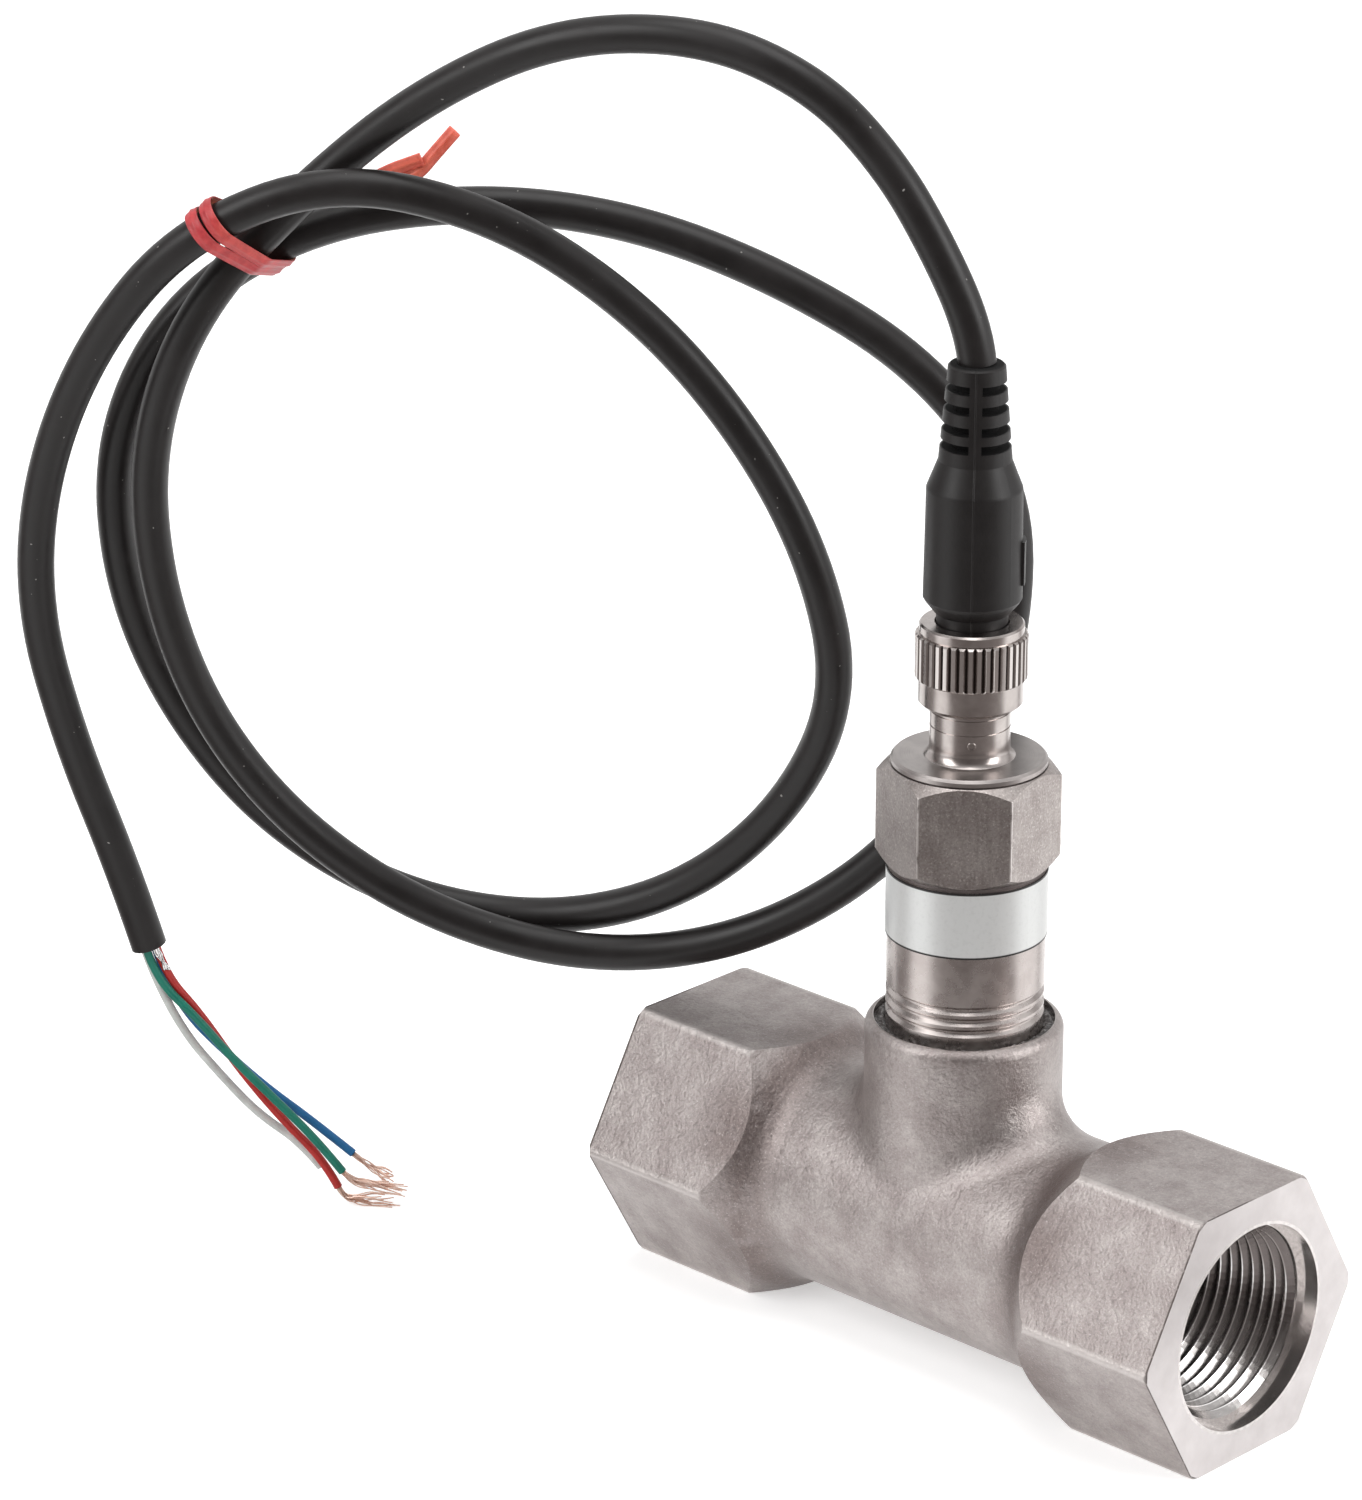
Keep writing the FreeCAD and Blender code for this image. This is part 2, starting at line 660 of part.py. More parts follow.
def tube(points, radius, name):
    """Tube along straight runs joined by tangent arcs."""
    places = [V(*p) for p in points]
    runs = [(b - a).Length for a, b in zip(places, places[1:])]
    edges = []
    start = places[0]
    radii = []
    length = 0.0
    for i in range(1, len(places) - 1):
        back = (places[i - 1] - places[i]).normalize()
        ahead = (places[i + 1] - places[i]).normalize()
        turn = math.pi - back.getAngle(ahead)
        reach = arc_share * min(runs[i - 1], runs[i])
        arc_r = reach / math.tan(turn / 2)
        radii.append(arc_r)
        enter = places[i] + back * reach
        leave = places[i] + ahead * reach
        bisector = (back + ahead).normalize()
        apex = places[i] + bisector * (arc_r / math.cos(turn / 2) - arc_r)
        edges.append(Part.LineSegment(start, enter).toShape())
        edges.append(Part.Arc(enter, apex, leave).toShape())
        length += (enter - start).Length + arc_r * turn
        start = leave
    edges.append(Part.LineSegment(start, places[-1]).toShape())
    length += (places[-1] - start).Length
    path = Part.Wire(edges)
    section = Part.Wire([Part.Circle(places[0], places[1] - places[0], radius).toShape()])
    solid = path.makePipeShell([section], True, False)
    expected = math.pi * radius ** 2 * length
    print(name, "length", round(length, 1), "smallest arc", round(min(radii), 1),
          "volume ratio", round(solid.Volume / expected, 5), "valid", solid.isValid())
    return solid


def cable():
    return tube(cable_route, cable_r, "cable")


def lead_points(colour):
    """Start on the jacket's end face, a stub square to that face, then the lead's own points."""
    end = V(*cable_route[-1])
    ahead = (end - V(*cable_route[-2])).normalize()
    across, behind = lead_starts[colour]
    offset = lead_across * across + lead_behind * behind
    start = end + offset - UP * (offset.dot(ahead) / ahead.z)
    stub = start + ahead * lead_stub
    return [tuple(start), tuple(stub)] + lead_routes[colour]


def bare_points(colour):
    end = V(*lead_routes[colour][-1])
    ahead = (end - V(*lead_routes[colour][-2])).normalize()
    return [tuple(end), tuple(end + ahead * bare_stub)] + bare_routes[colour]


def cable_tie():
    """Flat band drawn round the three strands, as an offset of the triangle of their middles."""
    corners = [V(*p) for p in tie_strands]
    normal = (corners[1] - corners[0]).cross(corners[2] - corners[0]).normalize()
    core = Part.makePolygon(corners + corners[:1])
    inner = core.makeOffset2D(cable_r + tie_gap)
    outer = core.makeOffset2D(cable_r + tie_gap + tie_thickness)
    face = Part.Face(outer).cut(Part.Face(inner))
    face.translate(normal * (-tie_width / 2))
    return face.Faces[0].extrude(normal * tie_width)


def rigid_nodes():
    nodes = {
        "tee_body": tee_body(),
        "thread_sealant": thread_sealant(),
        "sensor_housing": sensor_housing(),
        "probe_tip": probe_tip(),
        "heated_sensor": chip_box(1),
        "reference_sensor": chip_box(-1),
        "sensor_leads": sensor_leads(),
        "probe_filler": probe_filler(),
        "circuit_board": circuit_board(),
        "board_components": board_components(),
        "board_leads": board_leads(),
        "label_band": label_band(),
        "cap_seal_ring": cap_seal_ring(),
        "hex_cap": hex_cap(),
        "connector_seal_ring": connector_seal_ring(),
        "connector_shell": connector_shell(),
        "pin_carrier": pin_carrier(),
        "coupling_nut": coupling_nut(),
        "socket_carrier": socket_carrier(),
        "nut_retaining_ring": nut_retaining_ring(),
        "face_seal": face_seal(),
        "plug_overmould": plug_overmould(),
    }
    for number, spot in enumerate(pin_places(), 1):
        nodes["contact_pin_%d" % number] = contact_pin(spot)
        nodes["contact_socket_%d" % number] = contact_socket(spot)
    return nodes


def write_nodes(nodes):
    os.makedirs("parts", exist_ok=True)
    for name, shape in nodes.items():
        shape.exportStep(os.path.join("parts", name + ".step"))
        print(name, "solids", len(shape.Solids), "valid", shape.isValid(), "volume", round(shape.Volume, 2))


model = rigid_nodes()
model["cable"] = cable()
model["cable_tie"] = cable_tie()
for colour in lead_routes:
    model["wire_" + colour] = tube(lead_points(colour), wire_r, "wire " + colour)
for colour in bare_routes:
    model["bare_end_" + colour] = tube(bare_points(colour), bare_r, "bare end " + colour)
write_nodes(model)
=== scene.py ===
import math

import bpy
import numpy as np
from mathutils import Matrix, Vector


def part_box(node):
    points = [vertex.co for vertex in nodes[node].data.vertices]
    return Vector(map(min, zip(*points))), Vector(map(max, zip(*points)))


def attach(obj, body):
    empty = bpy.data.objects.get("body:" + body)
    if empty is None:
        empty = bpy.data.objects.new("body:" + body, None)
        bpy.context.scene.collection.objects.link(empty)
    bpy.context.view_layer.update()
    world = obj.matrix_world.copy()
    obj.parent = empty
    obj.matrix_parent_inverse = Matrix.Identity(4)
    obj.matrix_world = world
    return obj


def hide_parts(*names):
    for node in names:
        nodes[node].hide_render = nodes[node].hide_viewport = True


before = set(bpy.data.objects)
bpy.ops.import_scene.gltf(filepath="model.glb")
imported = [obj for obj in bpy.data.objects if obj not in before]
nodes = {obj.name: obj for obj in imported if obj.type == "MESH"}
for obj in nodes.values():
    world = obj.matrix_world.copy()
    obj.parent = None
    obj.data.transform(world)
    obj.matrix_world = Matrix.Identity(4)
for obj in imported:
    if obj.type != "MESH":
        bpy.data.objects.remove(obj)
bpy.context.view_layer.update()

# Thermal dispersion flow switch. Metres, +X along the pipe, +Z up the sensor, floor at z = 0.

MM = 0.001
FINE = 0.02 * MM                 # depth of the finest grain and tool marks

# Camera, solved from the photograph
CAMERA_PLACE = (0.48154, -0.55234, 0.36120)
CAMERA_FORWARD = Vector((-0.64954, 0.67266, -0.35443))
CAMERA_RIGHT = Vector((0.71892, 0.69509, 0.00168))
CAMERA_LENS = 145.4

# Cable and leads
CABLE_R = 2.5 * MM
WIRE_R = 0.6 * MM
STRAND_R = 0.09 * MM
CABLE_ROUTE = [
    (0, 0, 136.1), (-0.4, -0.3, 140.5), (-4.2, -2.8, 150.5), (-9.7, -5.9, 161), (-18.5, -10, 170.5),
    (-32.5, -16, 175.8), (-50.5, -24, 174), (-68.5, -31, 164), (-84, -38, 149.5), (-94, -48.5, 134),
    (-101.5, -51, 114), (-103, -48.5, 93), (-100, -42.5, 73), (-92.5, -32.5, 56),
    (-79.5, -20.5, 44), (-62.5, -8, 39), (-45.5, 3, 42.5), (-29, 11, 54), (-17, 17, 70.5),
    (-11, 21, 90.5), (-11.5, 21.5, 112), (-22.5, 15, 128), (-39, 5, 138.5),
    (-56.5, -5.5, 145), (-72.5, -19, 147), (-87, -34.5, 144), (-101, -45, 132.5),
    (-110, -49.5, 113.5), (-112.5, -47, 92.5), (-110, -40.5, 73), (-102, -31, 55.5),
    (-88.5, -19, 44), (-71, -7, 41.5), (-53, 1.5, 48.5), (-38, 6.5, 63.5),
    (-28.5, 7, 82.5), (-29.5, 2, 103), (-36.5, -5.5, 122), (-47, -14.5, 137.5),
    (-60.5, -26, 149), (-75, -41, 154), (-91, -52.5, 145.5), (-104, -57.5, 129),
    (-113, -59.5, 109.5), (-117, -58.5, 89.5), (-116.5, -53, 68.5), (-113.5, -47, 49),
    (-111.5, -44.5, 37.5),
]
LEAD_ACROSS = np.array((0.72, 0.694, 0))
LEAD_BEHIND = np.array((-0.694, 0.72, 0))
LEAD_STUB = 5.0
LEAD_STARTS = {
    "grey": (-0.85, 0.6), "green": (-0.35, -0.85), "blue": (0.5, 0.95), "red": (0.95, -0.35),
}
LEAD_ROUTES = {
    "grey": [(-109, -40.5, 23.5), (-105, -37.5, 17.5), (-101, -34.5, 12), (-96, -31, 8),
             (-93.5, -29.5, 4.5)],
    "green": [(-105.5, -41.5, 27.5), (-101.5, -38.5, 21.5), (-96.5, -35, 15.5), (-91.5, -32, 10),
              (-88.5, -30, 5.5)],
    "blue": [(-109.5, -39.5, 26), (-106, -36, 20.5), (-100.5, -33, 15.5), (-95, -30, 11.5),
             (-89.5, -27, 7)],
    "red": [(-106.5, -40, 27.5), (-102, -37, 19.5), (-97, -33.5, 12), (-92, -30.5, 6.5),
            (-90, -29.5, 2.5)],
}
BARE_STUB = 1.8
BARE_ROUTES = {
    "green": [(-84.7, -26.5, 3.5), (-81.6, -23.5, 2.4)],
    "blue": [(-86.2, -24.9, 4.3), (-83.8, -23.3, 3.4)],
    "red": [(-87.6, -28.2, 1.0), (-85.3, -26.2, 0.8), (-82.5, -24, 0.7)],
}
STRANDS = {"green": 24, "blue": 12, "red": 16}
BUNDLE_R = 0.36 * MM
STRAND_SPREAD = 0.62 * MM
STRAND_WAVE = 0.16 * MM
STRAND_LOW = 0.15 * MM           # lowest that a wire's middle may lie
STRAND_TURN = 2.4                # turn from one wire of the bundle to the next
STRAND_LAY = 1.5                 # twist of the bundle over its length

# Torn end of the screening foil
FOIL_ROUTE = [
    (-110.2, -44.7, 37.9), (-109.9, -44.4, 36.8), (-109.5, -44.05, 35.8), (-109.1, -43.7, 34.9),
    (-108.9, -43.5, 34.2),
]
FOIL_HALF = 0.55 * MM
FOIL_CRUMPLE = 0.14 * MM
FOIL_FILM = 0.05 * MM

# Pieces of the plug, which move with the cable
PLUG_NODES = ["plug_overmould", "coupling_nut", "nut_retaining_ring", "socket_carrier", "face_seal"]
PLUG_NODES += ["contact_socket_%d" % k for k in (1, 2, 3, 4)]

# Tee
HALF_PIPE = 49.35 * MM
PIPE_AXIS = 18 * MM
THREAD_ROOT_R = 13.08 * MM
THREAD_CREST_R = 12.15 * MM
THREAD_PITCH = 1.814 * MM
THREAD_FIRST = 2.9 * MM          # from the end face to the first crest
THREAD_LAST = 19.2 * MM
THREAD_START = math.radians(150)
THREAD_STEPS = 80                # points a turn
THREAD_FADE = 2.0                # radians of turn over which the ridge rises at either end
THREAD_FOOT = 0.48               # half width at the root and at the crest, in shares of the pitch
THREAD_FLAT = 0.04
BORE_WALL_R = 14.3 * MM          # inside it, the tee is machined
HEX_EDGE_R = 20.3 * MM           # farther from the pipe's axis, the hex edges are lighter, from wear and a painted highlight
HEX_FOOT = 22 * MM
BLEND_START = (17 * MM, 25 * MM)   # along the pipe, where the painted shade in the blends comes in and goes out
BLEND_END = (27 * MM, 36 * MM)
BLEND_R = (17.5 * MM, 20 * MM)
EDGE_SHADOW_DEPTH = (0.26 * MM, 0.36 * MM)
BOSS_MOUTH = 46.8 * MM
BOSS_WALL_R = 12.0 * MM
BOSS_BORE_FOOT = 30 * MM

# Sealant squeezed out round the housing
SEALANT_INNER = 10.42 * MM
SEALANT_EDGE = 0.45 * MM         # its edges, below the CAD ring's top
SEALANT_CROWN = 0.35 * MM
SEALANT_LUMP = 0.38 * MM
LUMP_SIZE = 2.2 * MM

# Cap and connector
CAP_CORNER_R = 12.0 * MM
NECK_FOOT = 83.4 * MM
SHELL_R = 5.25 * MM
DOT_PLACE = (math.radians(-46), 86.3 * MM)
DOT_RINGS = np.array((0.04, 0.2, 0.34, 0.41, 0.47, 0.53, 0.60)) * MM
DOT_RISE = np.array((0.03, 0.03, 0.03, 0.07, 0.09, 0.06, -0.03)) * MM
RELIEF_FOOT = 123.4 * MM         # strain relief of the plug: its radius there, and its taper upward
RELIEF_R = 4.75 * MM
RELIEF_TAPER = 0.0827
SEAM_ANGLE = math.radians(-50)   # parting line of the plug
SEAM_ACROSS = (-math.sin(SEAM_ANGLE), math.cos(SEAM_ANGLE))
KNURL_FOOT = 94.1 * MM
KNURL_TOP = 100.2 * MM
KNURL_R = 7.3 * MM

# Cable tie: middles of the three strands, and its two tails, in millimetres
TIE_STRANDS = np.array([(-89.5, -51.1, 145.5), (-89.9, -44.2, 140.4), (-92.8, -38.8, 139.2)]) * MM
TIE_SLIDE = 2.5 * MM             # along the strands from the CAD tie's middle
TIE_R = 3.15 * MM
TIE_WIDTH = 1.9 * MM
TIE_FILM = 0.24 * MM
TIE_WIRE = 0.16 * MM
TIE_WIRE_HALF = 0.28             # in shares of the film's half width
TIE_WRAPS = ((1.02 * MM, 0.12 * MM, 0.4), (-1.05 * MM, 0.32 * MM, 2.2))   # shift, lean and its phase
TAIL_TURNS = {"long": 0.0, "short": math.pi + 0.35}
TAIL_ROOT = 0.35                 # share of a tail that is twisted, and its twist
TAIL_TWIST = 4 * math.pi
TAIL_APART = 0.45 * MM
TIE_TAILS = {
    "long": [(-95, -36.5, 139.2), (-92.3, -33.6, 138.6), (-88, -29.4, 142.7), (-82.7, -24.3, 147.7),
             (-79.8, -21.4, 149.3), (-77.8, -19.6, 152.6), (-76, -17.8, 155.5)],
    "short": [(-95, -36.5, 139.8), (-92.6, -33.9, 140), (-87.6, -29.3, 146.1), (-82.1, -24, 150.1),
              (-80.5, -22.4, 150.9), (-78.9, -21.1, 151.7)],
}

# Studio
STUDIO_FRONT = (0.695, 0.719)
STUDIO_TONES = (
    (0.0, 1.0), (0.153, 1.0), (0.189, (0.27, 0.25, 0.245)), (0.244, (0.24, 0.22, 0.215)), (0.278, 1.0),
    (0.339, 0.95), (0.375, (0.22, 0.20, 0.195)), (0.47, (0.15, 0.135, 0.13)),
    (0.60, (0.20, 0.182, 0.177)), (0.685, (0.26, 0.24, 0.235)), (0.72, 1.0), (0.825, 1.0),
    (0.85, (0.42, 0.40, 0.395)), (0.889, 1.0),
)
NEAR_FLOOR = (0.06, 0.11)        # white round the object, and the studio's tones farther out
FLOOR_HALF = 6.0
FLOOR_LIFT = 0.45
WORLD_LIGHT = 0.55
LAMP_AIM = Vector((0, 0, 0.07))
LAMPS = (                        # name, place, width, power and height
    ("key_left", (-0.35, -0.95, 0.75), 0.5, 6.0, 0.9),
    ("fill_right", (1.0, 0.4, 0.5), 0.5, 7.0, 0.8),
    ("top", (0.0, 0.0, 1.3), 0.9, 7.0, 0.9),
)


# Meshes from arrays

def piece_from(name, parts, smooth=True):
    """Mesh object at the origin from one or more parts, each its array of points and its list of faces."""
    faces, count = [], 0
    for points, part_faces in parts:
        faces += [[corner + count for corner in face] for face in part_faces]
        count += len(points)
    mesh = bpy.data.meshes.new(name)
    mesh.from_pydata(np.concatenate([points for points, _ in parts]).tolist(), [], faces)
    mesh.polygons.foreach_set("use_smooth", np.full(len(mesh.polygons), smooth))
    mesh.update()
    obj = bpy.data.objects.new(name, mesh)
    bpy.context.scene.collection.objects.link(obj)
    return obj


def grid_faces(rows, cols, wrap_rows=False, wrap_cols=True):
    """Quads of a rows by cols grid of points, closed round either way."""
    r = np.arange(rows if wrap_rows else rows - 1)[:, None]
    c = np.arange(cols if wrap_cols else cols - 1)[None, :]
    r2, c2 = (r + 1) % rows, (c + 1) % cols
    quads = np.stack([r * cols + c, r * cols + c2, r2 * cols + c2, r2 * cols + c], -1)
    return quads.reshape(-1, 4)


def frames_along(path):
    """Unit tangents of a path and two normals carried along it without twist.

    Each normal is the one before it with its part along the new tangent taken away.
    """
    tangent = np.gradient(path, axis=0)
    tangent /= np.linalg.norm(tangent, axis=1, keepdims=True)
    side = np.cross(tangent[0], (0.0, 0.0, 1.0))
    if np.linalg.norm(side) < 0.1:
        side = np.array((1.0, 0.0, 0.0))
    sides = []
    for t in tangent:
        side = side - t * (side @ t)
        side = side / np.linalg.norm(side)
        sides.append(side)
    side = np.array(sides)
    return tangent, side, np.cross(tangent, side)


def tube_points(path, radius, around):
    """Rings of a tube: path + r cos(a) side - r sin(a) other."""
    tangent, side, other = frames_along(path)
    a = np.linspace(0, 2 * math.pi, around, endpoint=False)
    circle = np.cos(a)[None, :, None] * side[:, None] - np.sin(a)[None, :, None] * other[:, None]
    return path[:, None] + circle * radius


def closed_rings(rings):
    """Points and faces of a skin over rings of points, with a fan to a middle point at both ends.

    Round each ring the points run clockwise as seen from the last ring.
    """
    rows, cols, _ = rings.shape
    points = np.concatenate([rings.reshape(-1, 3), [rings[0].mean(0)], [rings[-1].mean(0)]])
    quads = grid_faces(rows, cols)
    first, last = rows * cols, rows * cols + 1
    c = np.arange(cols)
    d = (c + 1) % cols
    start = np.stack([d, c, np.full(cols, first)], -1)
    end = np.stack([(rows - 1) * cols + c, (rows - 1) * cols + d, np.full(cols, last)], -1)
    return points, [face for part in (quads, start, end) for face in part[:, ::-1].tolist()]


def noise3(points, seed, size, octaves=3):
    """Smooth seeded noise in -1..1: sums of sines in turned directions, each octave half as large."""
    rng = np.random.default_rng(seed)
    value = np.zeros(points.shape[:-1])
    total = 0.0
    for o in range(octaves):
        for _ in range(4):
            direction = rng.normal(size=3)
            direction /= np.linalg.norm(direction)
            phase = rng.uniform(0, 2 * math.pi)
            value += np.sin(points @ direction * (2 * math.pi * 2 ** o / size) + phase) / 2 ** o
        total += 2.0 / 2 ** o
    return value / total


# Materials

def new_material(name):
    """A material with its node tree and its main shader."""
    m = bpy.data.materials.new(name)
    m.use_nodes = True
    return m, m.node_tree, m.node_tree.nodes["Principled BSDF"]


def link(tree, output, target):
    tree.links.new(output, target)


def place_of(tree):
    return tree.nodes.new("ShaderNodeTexCoord").outputs["Object"]


def noise(tree, where, scale, detail=3.0, rough=0.55, stretch=None):
    """Fractal noise at a scale in cycles a metre, stretched along an axis if asked."""
    if stretch:
        mapping = tree.nodes.new("ShaderNodeMapping")
        mapping.inputs["Scale"].default_value = stretch
        link(tree, where, mapping.inputs["Vector"])
        where = mapping.outputs["Vector"]
    node = tree.nodes.new("ShaderNodeTexNoise")
    node.inputs["Scale"].default_value = scale
    node.inputs["Detail"].default_value = detail
    node.inputs["Roughness"].default_value = rough
    link(tree, where, node.inputs["Vector"])
    return node.outputs["Fac"]


def ramp(tree, value, *stops):
    """Colour ramp through (position, colour) stops."""
    node = tree.nodes.new("ShaderNodeValToRGB")
    elements = node.color_ramp.elements
    while len(elements) < len(stops):
        elements.new(0.5)
    for element, (position, colour) in zip(elements, stops):
        element.position = position
        grey = colour if isinstance(colour, (tuple, list)) else (colour,) * 3
        element.color = (*grey, 1)
    link(tree, value, node.inputs["Fac"])
    return node.outputs["Color"]


def graded(tree, value, low, high):
    """From low to high, in tone or number, over the middle of a noise's range."""
    return ramp(tree, value, (0.3, low), (0.7, high))


def maths(tree, operation, a, b=None, c=None):
    """One Math node, on sockets or plain numbers."""
    node = tree.nodes.new("ShaderNodeMath")
    node.operation = operation
    for socket, value in zip(node.inputs, (a, b, c)):
        if value is None:
            continue
        if isinstance(value, (int, float)):
            socket.default_value = value
        else:
            link(tree, value, socket)
    return node.outputs["Value"]


def between(tree, value, low, high):
    """0 below low, 1 above high, smooth between."""
    node = tree.nodes.new("ShaderNodeMapRange")
    node.interpolation_type = "SMOOTHSTEP"
    node.inputs["From Min"].default_value = low
    node.inputs["From Max"].default_value = high
    link(tree, value, node.inputs["Value"])
    return node.outputs["Result"]


def mixed(tree, share, a, b, blend="MIX"):
    """Colour a where share is 0, b where it is 1, or their product when blend is MULTIPLY."""
    node = tree.nodes.new("ShaderNodeMix")
    node.data_type = "RGBA"
    node.blend_type = blend
    sockets = [s for s in node.inputs if s.enabled]
    for socket, value in zip(sockets, (share, a, b)):
        if isinstance(value, (tuple, list)):
            socket.default_value = (*value, 1)
        elif isinstance(value, (int, float)):
            socket.default_value = value
        else:
            link(tree, value, socket)
    return [s for s in node.outputs if s.enabled][0]


def mult(tree, a, b):
    return mixed(tree, 1.0, a, b, "MULTIPLY")


def split(tree, where):
    node = tree.nodes.new("ShaderNodeSeparateXYZ")
    link(tree, where, node.inputs["Vector"])
    return node.outputs["X"], node.outputs["Y"], node.outputs["Z"]


def bumps(tree, shader, *layers):
    """Bump layers, each (height, strength, distance in metres), one on top of the other."""
    normal = None
    for height, strength, distance in layers:
        node = tree.nodes.new("ShaderNodeBump")
        node.inputs["Strength"].default_value = strength
        node.inputs["Distance"].default_value = distance
        link(tree, height, node.inputs["Height"])
        if normal is not None:
            link(tree, normal, node.inputs["Normal"])
        normal = node.outputs["Normal"]
    link(tree, normal, shader.inputs["Normal"])


def radius_of(tree, a, b):
    """Distance from an axis, from the two coordinates square to it."""
    squares = [maths(tree, "MULTIPLY", value, value) for value in (a, b)]
    return maths(tree, "SQRT", maths(tree, "ADD", *squares))


def cast_steel():
    """Sand-cast stainless: pinkish grey and grainy, lighter on the hex edges from wear and a painted
    highlight, with painted shade in the blends and a painted shadow line along the front edges of the end
    faces.

    The end faces are machined, and inside the bores the steel is cut and smoother.
    """
    m, t, b = new_material("cast_steel")
    where = place_of(t)
    x, y, z = split(t, where)
    from_pipe = radius_of(t, y, maths(t, "SUBTRACT", z, PIPE_AXIS))
    from_branch = radius_of(t, x, y)
    grain = noise(t, where, 2600, 4, 0.7)
    pits = noise(t, where, 1100, 3, 0.6)
    patches = noise(t, where, 210, 4, 0.6)
    tone = graded(t, patches, (0.345, 0.30, 0.29), (0.50, 0.455, 0.44))
    cast = mult(t, mult(t, tone, ramp(t, grain, (0.36, 0.74), (0.62, 1.0))),
                ramp(t, pits, (0.28, 0.84), (0.40, 1.0)))
    reach = maths(t, "ABSOLUTE", x)
    # Painted shade: darker patches in the concave blends beside the hexes, near the barrel.
    blend = maths(t, "MULTIPLY", between(t, reach, *BLEND_START), between(t, reach, *BLEND_END[::-1]))
    low = between(t, from_pipe, *BLEND_R[::-1])
    blend_shade = maths(t, "MULTIPLY", maths(t, "MULTIPLY", blend, low), between(t, patches, 0.25, 0.5))
    cast = mult(t, cast, mixed(t, blend_shade, (1, 1, 1), (0.56, 0.51, 0.50)))
    specks = ramp(t, noise(t, where, 3600, 2, 0.5), (0.62, 0.0), (0.70, 0.28))
    cast = mixed(t, specks, cast, (0.72, 0.68, 0.665))
    # Painted shadow: a broken dark line on the front faces, just inside the end faces.
    edge_shadow = maths(t, "MULTIPLY", between(t, reach, HALF_PIPE - EDGE_SHADOW_DEPTH[1], HALF_PIPE - EDGE_SHADOW_DEPTH[0]),
                 between(t, y, 1 * MM, -2 * MM))
    edge_shadow = maths(t, "MULTIPLY", edge_shadow, between(t, pits, 0.30, 0.42))
    cast = mixed(t, edge_shadow, cast, (0.12, 0.10, 0.095))
    # Lighter hex edges: partly wear, partly a painted highlight of rounded edges.
    edge = maths(t, "MULTIPLY", between(t, from_pipe, HEX_EDGE_R, HEX_EDGE_R + 0.3 * MM),
                 between(t, reach, HEX_FOOT, HEX_FOOT + 3 * MM))
    cast = mixed(t, maths(t, "MULTIPLY", edge, 0.5), cast, (0.66, 0.62, 0.60))
    face = between(t, reach, HALF_PIPE - 0.06 * MM, HALF_PIPE - 0.02 * MM)
    mouth = between(t, z, BOSS_MOUTH - 0.06 * MM, BOSS_MOUTH - 0.02 * MM)
    faces = maths(t, "MAXIMUM", face, mouth)
    pipe_bore = between(t, from_pipe, BORE_WALL_R + 0.1 * MM, BORE_WALL_R - 0.1 * MM)
    branch_bore = between(t, from_branch, BOSS_WALL_R + 0.1 * MM, BOSS_WALL_R - 0.1 * MM)
    branch_bore = maths(t, "MULTIPLY", branch_bore, between(t, z, BOSS_BORE_FOOT, BOSS_BORE_FOOT + 2 * MM))
    bores = maths(t, "MAXIMUM", pipe_bore, branch_bore)
    bright = graded(t, noise(t, where, 260, 4, 0.6), (0.56, 0.525, 0.52), (0.64, 0.605, 0.60))
    bright = mult(t, bright, ramp(t, noise(t, where, 420, 4, 0.75), (0.24, 0.6), (0.30, 1.0)))
    cut = graded(t, noise(t, where, 1500, 3, 0.6), (0.56, 0.525, 0.51), (0.72, 0.685, 0.67))
    machined = maths(t, "MAXIMUM", faces, bores)
    link(t, mixed(t, bores, mixed(t, faces, cast, bright), cut), b.inputs["Base Color"])
    b.inputs["Metallic"].default_value = 0.9
    rough = graded(t, grain, 0.36, 0.50)
    smooth = mixed(t, bores, (0.34, 0.34, 0.34), (0.15, 0.15, 0.15))
    link(t, mixed(t, machined, rough, smooth), b.inputs["Roughness"])
    as_cast = maths(t, "SUBTRACT", 1.0, maths(t, "MULTIPLY", machined, 0.95))
    height = maths(t, "MULTIPLY", grain, as_cast)
    bumps(t, b, (height, 0.8, 0.10 * MM), (maths(t, "MULTIPLY", pits, as_cast), 0.6, 0.2 * MM),
          (maths(t, "MULTIPLY", patches, as_cast), 0.25, 0.3 * MM))
    return m


def thread_steel():
    """Cut pipe thread: narrow crests over darker flanks. Painted light makes the lower flanks and crests
    bright, and painted shade keeps the upper ones dark.
    """
    m, t, b = new_material("thread_steel")
    where = place_of(t)
    _, y, z = split(t, where)
    height = maths(t, "SUBTRACT", z, PIPE_AXIS)
    out = radius_of(t, y, height)
    crest = between(t, out, THREAD_CREST_R + 0.16 * MM, THREAD_CREST_R + 0.04 * MM)
    torn = noise(t, where, 2400, 3, 0.6, stretch=(1, 0.2, 0.2))
    # Painted light and shade by height: the lower flanks and crests are light, the upper ones dark.
    lower = between(t, height, -2 * MM, -9 * MM)
    wear_and_painted_light = between(t, height, 4 * MM, -1 * MM)
    flank = mixed(t, lower, (0.15, 0.13, 0.125), (0.46, 0.44, 0.43))
    flank = mult(t, flank, graded(t, torn, 0.8, 1.0))
    crests = mixed(t, wear_and_painted_light, (0.24, 0.215, 0.205), (0.92, 0.90, 0.89))
    link(t, mixed(t, crest, flank, crests), b.inputs["Base Color"])
    b.inputs["Metallic"].default_value = 1.0
    link(t, graded(t, torn, 0.20, 0.28), b.inputs["Roughness"])
    bumps(t, b, (torn, 0.12, FINE))
    return m


